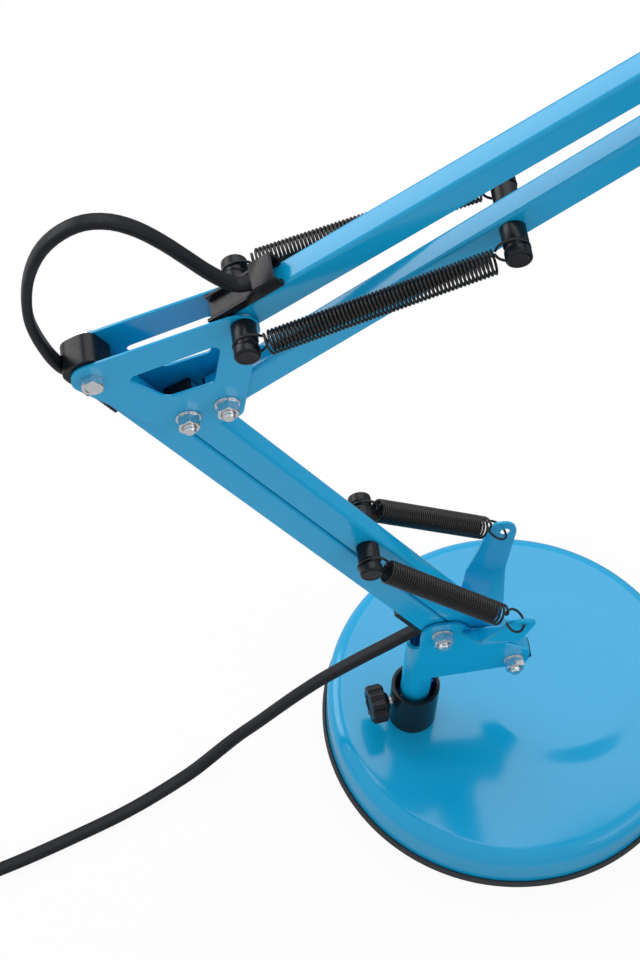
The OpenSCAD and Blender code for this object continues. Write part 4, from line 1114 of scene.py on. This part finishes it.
@dataclass
class Base:
    """The weighted round base, its socket and the thumb screw."""

    bench: Bench
    radius: float = 90.0
    lip: float = 1.8
    height: float = 26.5
    sheet: float = 1.2
    shoulder: float = 7.5
    rim_h: float = 4.4
    field_at: Pair = (21.8, 5.4)
    field_r: float = 48.3
    field_slope: float = 12.0
    field_h: float = 1.0
    segments: int = 180

    def _field(self, x: float, y: float) -> float:
        """Height of the raised round field at a place on the top, in millimetres."""
        far = math.hypot(x - self.field_at[0], y - self.field_at[1])
        return self.field_h * smooth((self.field_r - far) / self.field_slope)

    def cover(self) -> None:
        """The pressed steel cover with its soft shoulder and raised field."""
        out = self.radius - self.lip
        flat = out - self.shoulder
        rows = [(out - self.sheet, 2.1), (out - 0.2, 2.0), (out, 2.3)]
        rows += [(out, z) for z in (6.0, 10.0, 14.0, 17.5)]
        rows += [(flat + self.shoulder * math.cos(math.radians(a)),
                  self.height - self.shoulder + self.shoulder * math.sin(math.radians(a)))
                 for a in range(0, 91, 6)]
        rows += [(flat - 1.5 * k, self.height) for k in range(1, 53)]
        inner = [(0.02, self.height - self.sheet), (flat, self.height - self.sheet)]
        inner += [(flat + (self.shoulder - self.sheet) * math.cos(math.radians(a)),
                   self.height - self.shoulder
                   + (self.shoulder - self.sheet) * math.sin(math.radians(a)))
                  for a in range(75, -1, -15)]
        mesh = bmesh.new()
        self.bench.turned(mesh, inner + rows + [(0.02, self.height)], Matrix.Identity(4),
                          self.segments)
        top = (self.height - 0.2) * MM
        for v in mesh.verts:
            if v.co.z > top:
                v.co.z += self._field(v.co.x / MM, v.co.y / MM) * MM
        bmesh.ops.remove_doubles(mesh, verts=mesh.verts, dist=0.01 * MM)
        self.bench.piece(mesh, "base_pressed_cover", PAINT, ["base_cover"], Body.BASE, sharp=40)

    def rim(self) -> None:
        """The rubber edging round the cover's foot."""
        seat = self.radius - self.lip
        profile = soft_profile([
            (seat - 2.8, 0, 0.2), (self.radius - 0.2, 0, 0.9), (self.radius, self.rim_h, 1.0),
            (seat + 0.1, self.rim_h - 0.1, 0.4), (seat + 0.02, 2.0, 0.1),
            (seat - self.sheet - 0.05, 2.0, 0.1), (seat - self.sheet - 0.05, 3.0, 0.1),
            (seat - 2.8, 3.0, 0.1)], 4, closed=True)
        mesh = bmesh.new()
        self.bench.turned(mesh, profile, Matrix.Identity(4), self.segments, closed=True)
        self.bench.piece(mesh, "base_rubber_edging", RUBBER, ["base_rim"], Body.BASE, sharp=50)

    def thumb_screw(self) -> None:
        """The lobed knob and its threaded stud."""
        place = Matrix.Translation(foot(0, 0, 43.5)) \
            @ Matrix.Rotation(math.radians(188), 4, "Z") \
            @ Matrix.Rotation(math.radians(90), 4, "Y")
        near, r, t = 14.5, 9.2, 7.5
        mesh = bmesh.new()
        rings = [round_ring(2.05, near - 1.6), round_ring(4.1, near - 1.6),
                 round_ring(4.4, near - 1.2), round_ring(4.6, near - 0.1)]
        for drop, rise in ((1.3, 0.0), (0.55, 0.25), (0.1, 0.8), (0.0, 1.6), (0.0, t - 1.8),
                           (0.15, t - 0.9), (0.6, t - 0.25), (1.3, t)):
            rings.append(lobed_ring(r - drop, 1.5, 10, near + rise))
        rings += [round_ring(5.2, near + t), round_ring(4.8, near + t - 0.5),
                  round_ring(0.05, near + t - 0.5)]
        self.bench.loft(mesh, rings, place, 100)
        self.bench.piece(mesh, "thumb_screw_knob", BLACK, ["thumb_knob"], Body.THUMB, sharp=40)
        stud = bmesh.new()
        profile: list[Pair] = [(0.02, 7.2), (1.6, 7.2), (2.0, 7.7)]
        z = 7.7
        while z < near - 1.6:
            profile += [(2.0, z + 0.15), (1.72, z + 0.4), (2.0, z + 0.65)]
            z += 0.7
        profile += [(2.0, near + 3), (0.02, near + 3)]
        self.bench.turned(stud, profile, place, 28)
        self.bench.piece(stud, "thumb_screw_stud", ZINC, ["thumb_stud"], Body.THUMB, sharp=25)

    def build(self) -> None:
        """Builds the base."""
        self.cover()
        self.rim()
        self.bench.folded("socket", "base_socket", BLACK, Body.BASE, 0.35, 3)
        self.bench.folded("swivel_bush", "socket_liner", LINER, Body.BASE, 0.25)
        self.thumb_screw()
        for node, finish in (("base_weight", IRON), ("base_plate", STEEL), ("base_pad", RUBBER),
                             ("socket_bolt", ZINC)):
            self.bench.dress(node, finish)


# ---------------------------------------------------------------- arms


@dataclass
class Arms:
    """Yoke, bars, plates and their plastic ends."""

    bench: Bench
    sheet_edge: float = 0.28
    plastic_edge: float = 0.35

    def build(self) -> None:
        """Finishes each pressed and moulded part of the arms."""
        pressed = (
            ("yoke", "yoke_sheet", Body.YOKE), ("front_bar", "front_bar_channel", Body.FRONT),
            ("rear_bar", "rear_bar_channel", Body.REAR),
            ("elbow_plate_near", "elbow_side_near", Body.ELBOW),
            ("elbow_plate_far", "elbow_side_far", Body.ELBOW),
            ("boom", "boom_channel", Body.BOOM), ("top_bar", "top_bar_channel", Body.TOP),
            ("head_plate_near", "head_side_near", Body.HEAD),
            ("head_plate_far", "head_side_far", Body.HEAD))
        for node, name, body in pressed:
            self.bench.folded(node, name, PAINT, body, self.sheet_edge)
        moulded = (
            ("front_bar_grommet", "front_bar_cable_insert", Body.FRONT),
            ("front_bar_cap", "front_bar_end_hood", Body.FRONT),
            ("rear_bar_caps", "rear_bar_end_plugs", Body.REAR),
            ("boom_caps", "boom_end_plugs", Body.BOOM),
            ("top_bar_holder", "top_bar_cable_guide", Body.TOP),
            ("top_bar_cap", "top_bar_end_plug", Body.TOP))
        for node, name, body in moulded:
            self.bench.folded(node, name, BLACK, body, self.plastic_edge,
                              merge=node != "top_bar_holder")
        for node in ("front_bar_bushes", "rear_bar_bushes", "boom_bushes", "top_bar_bushes"):
            self.bench.dress(node, WHITE)


# ---------------------------------------------------------------- shade


@dataclass
class Shade:
    """The bell shade with its knuckle, lampholder, bulb, gland, hand nut and button."""

    bench: Bench
    knuckle: float = 32.0
    neck_r: float = 26.0
    neck_len: float = 46.0
    bell_len: float = 86.0
    mouth_r: float = 72.0
    sheet: float = 0.8
    bulb_r: float = 27.0
    cap_r: float = 13.3
    cap_len: float = 26.0
    slots: int = 10
    segments: int = 240

    @property
    def place(self) -> Matrix:
        """The shade's own frame: Z runs down its axis from the tilt pivot."""
        return Matrix.Translation(foot(ARM.tilt_pin.x, 0, ARM.tilt_pin.y)) \
            @ Matrix.Rotation(math.pi, 4, "X")

    def _bell(self, share: float) -> float:
        """Radius of the bell at a share of its length."""
        s = share
        return self.neck_r + (self.mouth_r - self.neck_r) * (
            0.42 * s + 0.58 * s ** 0.62 * (1 - s) + 0.58 * s * s)

    def _open_slots(self, mesh: bmesh.types.BMesh, low: float, high: float) -> None:
        """Cuts the neck's air slots through both walls.

        Args:
            mesh: the shell, before it is put in place.
            low: height where a slot starts, in metres.
            high: height where it ends.
        """
        for k in range(self.slots):
            middle = math.radians(360 / self.slots * k + 180 / self.slots)
            doomed = []
            for face in mesh.faces:
                c = face.calc_center_median()
                turn = (math.atan2(c.y, c.x) - middle + math.pi) % (2 * math.pi) - math.pi
                if low < c.z < high and math.hypot(c.x, c.y) > (self.neck_r - 2) * MM \
                        and abs(turn) < 0.06:
                    doomed.append(face)
            edge_uses: dict[bmesh.types.BMEdge, int] = {}
            for face in doomed:
                for e in face.edges:
                    edge_uses[e] = edge_uses.get(e, 0) + 1
            border = [e for e, uses in edge_uses.items() if uses == 1]
            bmesh.ops.delete(mesh, geom=doomed, context="FACES")
            bmesh.ops.bridge_loops(mesh, edges=[e for e in border if e.is_valid])

    def bell(self) -> None:
        """The pressed shell, painted outside and white inside."""
        start, end = self.knuckle, self.knuckle + self.neck_len
        mouth = end + self.bell_len
        outer = [(5.0, start)] + arc_corner((5, start), (self.neck_r, start), (self.neck_r, end),
                                            6.0, 8)
        heights = [start + 8, start + 12, start + 17, start + 22, start + 27, start + 32,
                   start + 38, end - 2]
        outer += [(self.neck_r, z) for z in heights]
        outer += [(self._bell(i / 44), end + self.bell_len * i / 44) for i in range(45)]
        roll = [(self.mouth_r - 0.2 + 1.2 * math.cos(math.radians(a)),
                 mouth - 0.6 + 1.2 * math.sin(math.radians(a))) for a in range(-30, 181, 30)]
        inner = [(r - self.sheet, z) for r, z in outer[10:]][::-1]
        inner += arc_corner((self.neck_r - self.sheet, end), (self.neck_r - self.sheet,
                            start + self.sheet), (5, start + self.sheet), 5.2, 8)
        inner += [(5.0, start + self.sheet)]
        mesh = bmesh.new()
        self.bench.turned(mesh, outer[:-1] + roll + inner[1:], Matrix.Identity(4), self.segments,
                          closed=True)
        self._open_slots(mesh, (start + 12.1) * MM, (start + 31.9) * MM)
        bmesh.ops.recalc_face_normals(mesh, faces=mesh.faces)
        for face in mesh.faces:
            c = face.calc_center_median()
            axis_out = Vector((c.x, c.y, 0)).normalized()
            inside = face.normal.dot(axis_out) < -0.2 or (
                c.z < (start + 2) * MM and face.normal.z > 0.5)
            face.material_index = 1 if inside else 0
        bmesh.ops.transform(mesh, matrix=self.place, verts=mesh.verts)
        made = self.bench.piece(mesh, "shade_pressed_bell", PAINT, ["shade_bell"], Body.SHADE,
                                sharp=40, recalc=False)
        made.data.materials.append(self.bench.finishes.material(ENAMEL))

    def bulb(self) -> None:
        """Opal bulb on a screw cap."""
        start = self.knuckle + 0.8 + 15 - 1
        profile: list[Pair] = [(0.02, start), (4.6, start), (5.4, start + 0.6), (9, start + 3.6),
                               (self.cap_r - 0.6, start + 4.1)]
        z = start + 4.6
        while z < start + self.cap_len - 4:
            profile += [(self.cap_r, z), (self.cap_r, z + 1.2), (self.cap_r - 0.9, z + 2.2),
                        (self.cap_r - 0.9, z + 2.9)]
            z += 3.6
        profile += [(self.cap_r, start + self.cap_len - 0.3),
                    (self.cap_r - 0.5, start + self.cap_len), (0.02, start + self.cap_len)]
        cap = bmesh.new()
        self.bench.turned(cap, profile, self.place, 64)
        self.bench.piece(cap, "bulb_screw_cap", ZINC, ["bulb_cap"], Body.SHADE, sharp=60)
        neck = start + self.cap_len
        rows: list[Pair] = [(0.02, neck + 0.05), (self.cap_r - 0.3, neck + 0.05)]
        rows += [(self.cap_r - 0.1 + (self.bulb_r * 0.94 - self.cap_r)
                  * (1 - math.cos(math.pi * i / 18)) / 2, neck + 34 * i / 18)
                 for i in range(1, 18)]
        rows += [((self.bulb_r - 0.05) * math.cos(math.radians(a)),
                  neck + 43 + (self.bulb_r - 0.05) * math.sin(math.radians(a)))
                 for a in range(-20, 90, 5)]
        rows.append((0.02, neck + 43 + self.bulb_r - 0.05))
        glass = bmesh.new()
        self.bench.turned(glass, rows, self.place, 80)
        self.bench.piece(glass, "bulb_opal_glass", OPAL, ["bulb_glass"], Body.SHADE, sharp=60)

    def fittings(self) -> None:
        """Lampholder, knuckle, gland, hand nut and switch button."""
        start = self.knuckle + self.sheet
        profile: list[Pair] = [(5.05, start + 0.05), (14.2, start + 0.05), (15, start + 0.8),
                               (15, start + 9.5), (18.0, start + 11), (18.5, start + 12)]
        for k in range(6):
            z = start + 15 + 4.2 * k
            profile += [(18.5, z), (17.9, z + 0.5), (17.9, z + 1.2), (18.5, z + 1.7)]
        profile += [(18.5, start + 41), (17.9, start + 42), (13.8, start + 42),
                    (13.8, start + 14.05), (5.05, start + 14.0)]
        holder = bmesh.new()
        self.bench.turned(holder, profile, self.place, 64, closed=True)
        self.bench.piece(holder, "screw_lampholder", BLACK, ["lampholder"], Body.SHADE, sharp=40)
        self.bench.folded("shade_knuckle", "shade_pivot_knuckle", BLACK, Body.SHADE, 0.6, 3)
        gland_at = Matrix.Translation(foot(ARM.tilt_pin.x + 14.8, 0,
                                           ARM.tilt_pin.y - self.knuckle))
        gland = bmesh.new()
        self.bench.turned(gland, soft_profile([
            (0.02, -3, 0), (3.95, -3, 0.2), (3.95, 0.05, 0), (5.6, 0.05, 0.5), (5.3, 2.2, 0.4),
            (4.9, 2.6, 0.3), (4.4, 7, 0.8), (0.02, 7, 0)], 4), gland_at, 48)
        self.bench.piece(gland, "cable_gland", BLACK, ["flex_gland"], Body.SHADE, sharp=40)
        place = across(ARM.tilt_pin, ARM.plate_out + 0.3, Side.NEAR)
        knob = bmesh.new()
        rings = [round_ring(2.62, 0.0), round_ring(5.6, 0.0), round_ring(6.0, 0.4),
                 round_ring(6.0, 2.9)]
        for drop, rise in ((1.4, 3.0), (0.6, 3.2), (0.1, 3.9), (0.0, 5.0), (0.0, 11.0),
                           (0.2, 12.0), (0.7, 12.7), (1.5, 13.0)):
            rings.append(lobed_ring(11 - drop, 1.4, 10, rise))
        rings += [round_ring(6.2, 13.0), round_ring(5.8, 12.5), round_ring(3.2, 12.4),
                  round_ring(2.62, 12.4)]
        self.bench.loft(knob, rings, place, 100, closed=True)
        self.bench.piece(knob, "tilt_hand_nut", BLACK, ["tilt_knob"], Body.TILT, sharp=40)
        self.button()

    def button(self) -> None:
        """Push button in the side of the neck."""
        place = self.place @ Matrix.Translation(Vector((0, 0, self.knuckle + 40)) * MM) \
            @ Matrix.Rotation(math.radians(90), 4, "Y")
        seat = math.sqrt((self.neck_r - self.sheet) ** 2 - 6.5 ** 2) - 0.3
        tip = self.neck_r + 3.5
        mesh = bmesh.new()
        self.bench.turned(mesh, soft_profile([
            (0.02, seat - 1, 0), (6.45, seat - 1, 0.1), (6.45, seat, 0.1), (4.98, seat, 0.1),
            (4.98, tip, 0.9), (0.02, tip - 0.3, 0)], 4), place, 48)
        self.bench.piece(mesh, "switch_push_button", BLACK, ["switch_button"], Body.SWITCH,
                         sharp=45)

    def build(self) -> None:
        """Builds the shade."""
        self.bell()
        self.bulb()
        self.fittings()


# ---------------------------------------------------------------- studio


@dataclass
class Studio:
    """Camera, floor and soft light."""

    eye: Triple = (-211.05, -555.54, 1122.99)
    azimuth: float = -11.233
    elevation: float = 57.533
    roll: float = 4.067
    lens: float = 97.2
    floor_half: float = 4.0
    ambient: float = 0.68

    def camera(self) -> None:
        """The camera at the photograph's place."""
        az, el, roll = (math.radians(a) for a in (self.azimuth, self.elevation, self.roll))
        back = Vector((math.sin(az) * math.cos(el), -math.cos(az) * math.cos(el), math.sin(el)))
        right = Vector((math.cos(az), math.sin(az), 0))
        up = back.cross(right)
        across_x = math.cos(roll) * right + math.sin(roll) * up
        across_y = -math.sin(roll) * right + math.cos(roll) * up
        data = bpy.data.cameras.new("camera")
        data.lens, data.sensor_width, data.sensor_fit = self.lens, 36.0, "AUTO"
        data.clip_start, data.clip_end = 0.05, 50.0
        made = bpy.data.objects.new("camera", data)
        turn = Matrix((across_x, across_y, back)).transposed().to_4x4()
        made.matrix_world = Matrix.Translation(Vector(self.eye) * MM) @ turn
        bpy.context.scene.collection.objects.link(made)
        bpy.context.scene.camera = made

    def floor(self) -> None:
        """A pale floor that shows nearly white and keeps the lamp's shadow; in reflections alone it
        is painted darker towards +X, a painted shade that dims the reflections in the lamp's faces on
        that side.
        """
        mesh = bmesh.new()
        bmesh.ops.create_grid(mesh, x_segments=2, y_segments=2, size=self.floor_half)
        bmesh.ops.translate(mesh, verts=mesh.verts, vec=(0, 0, -0.0004))
        data = bpy.data.meshes.new("floor")
        mesh.to_mesh(data)
        mesh.free()
        made = bpy.data.objects.new("floor", data)
        bpy.context.scene.collection.objects.link(made)
        paper = bpy.data.materials.new("studio_floor")
        paper.use_nodes = True
        nodes, links = paper.node_tree.nodes, paper.node_tree.links
        shader = nodes["Principled BSDF"]
        place = nodes.new("ShaderNodeTexCoord")
        split = nodes.new("ShaderNodeSeparateXYZ")
        # Painted reflection: glossy rays see the floor's colour fall from 0.6 at X = 0 to 0.14 at X =
        # 0.14 m, so the bars' sides on the right reflect a painted darker floor
        reflection_shade_ramp = nodes.new("ShaderNodeMapRange")
        for socket, value in (("From Min", 0.0), ("From Max", 0.14), ("To Min", 0.6),
                              ("To Max", 0.14)):
            reflection_shade_ramp.inputs[socket].default_value = value
        reflected_floor_shade = nodes.new("ShaderNodeMix")
        reflected_floor_shade.inputs["A"].default_value = 0.86
        links.new(place.outputs["Object"], split.inputs[0])
        links.new(split.outputs["X"], reflection_shade_ramp.inputs["Value"])
        links.new(reflection_shade_ramp.outputs["Result"], reflected_floor_shade.inputs["B"])
        links.new(reflected_floor_shade.outputs["Result"], shader.inputs["Base Color"])
        shader.inputs["Roughness"].default_value = 0.9
        shader.inputs["Specular IOR Level"].default_value = 0.1
        glow = nodes.new("ShaderNodeEmission")
        glow.inputs["Color"].default_value = (1, 1, 1, 1)
        glow.inputs["Strength"].default_value = 1.0
        path = nodes.new("ShaderNodeLightPath")
        links.new(path.outputs["Is Glossy Ray"], reflected_floor_shade.inputs["Factor"])
        share = nodes.new("ShaderNodeMath")
        share.operation = "MULTIPLY"
        share.inputs[1].default_value = 0.93
        links.new(path.outputs["Is Camera Ray"], share.inputs[0])
        mix = nodes.new("ShaderNodeMixShader")
        links.new(share.outputs[0], mix.inputs["Fac"])
        links.new(shader.outputs[0], mix.inputs[1])
        links.new(glow.outputs[0], mix.inputs[2])
        links.new(mix.outputs[0], nodes["Material Output"].inputs["Surface"])
        data.materials.append(paper)

    def light(self) -> None:
        """White surroundings for the eye, softer light for the lamp, and two soft boxes."""
        world = bpy.data.worlds.new("studio")
        world.use_nodes = True
        nodes, links = world.node_tree.nodes, world.node_tree.links
        ambient = nodes["Background"]
        ambient.inputs["Color"].default_value = (1, 1, 1, 1)
        ambient.inputs["Strength"].default_value = self.ambient
        seen = nodes.new("ShaderNodeBackground")
        seen.inputs["Color"].default_value = (1, 1, 1, 1)
        seen.inputs["Strength"].default_value = 1.0
        path = nodes.new("ShaderNodeLightPath")
        either = nodes.new("ShaderNodeMath")
        either.operation = "MAXIMUM"
        links.new(path.outputs["Is Camera Ray"], either.inputs[0])
        links.new(path.outputs["Is Transmission Ray"], either.inputs[1])
        mix = nodes.new("ShaderNodeMixShader")
        links.new(either.outputs[0], mix.inputs["Fac"])
        links.new(ambient.outputs[0], mix.inputs[1])
        links.new(seen.outputs[0], mix.inputs[2])
        links.new(mix.outputs[0], nodes["World Output"].inputs["Surface"])
        bpy.context.scene.world = world
        for name, at, size, power in (
                ("box_above", (0.2, 0.75, 1.6), 1.4, 10.0),
                ("box_behind", (-1.2, 0.8, 0.75), 0.9, 7.0),
                ("box_side", (1.3, -1.0, 1.2), 0.9, 3.0)):
            data = bpy.data.lights.new(name, "AREA")
            data.shape, data.size, data.energy = "SQUARE", size, power
            lamp = bpy.data.objects.new(name, data)
            lamp.location = at
            aim_at = Vector((-0.03, 0.0, 0.2)) - Vector(at)
            lamp.rotation_euler = aim_at.to_track_quat("-Z", "Y").to_euler()
            bpy.context.scene.collection.objects.link(lamp)

    def build(self) -> None:
        """Builds the studio after the camera."""
        self.floor()
        self.light()
        bpy.context.scene.view_settings.view_transform = "Standard"


def main() -> None:
    """Builds the lamp."""
    logging.basicConfig(level=logging.INFO, format="%(message)s")
    studio = Studio()
    studio.camera()
    bench = Bench()
    for part in (Flex(bench), Base(bench), Arms(bench), Fasteners(bench), Springs(bench),
                 Shade(bench)):
        part.build()
        log.info("%s is built", type(part).__name__)
    studio.build()


if __name__ == "__main__":
    main()
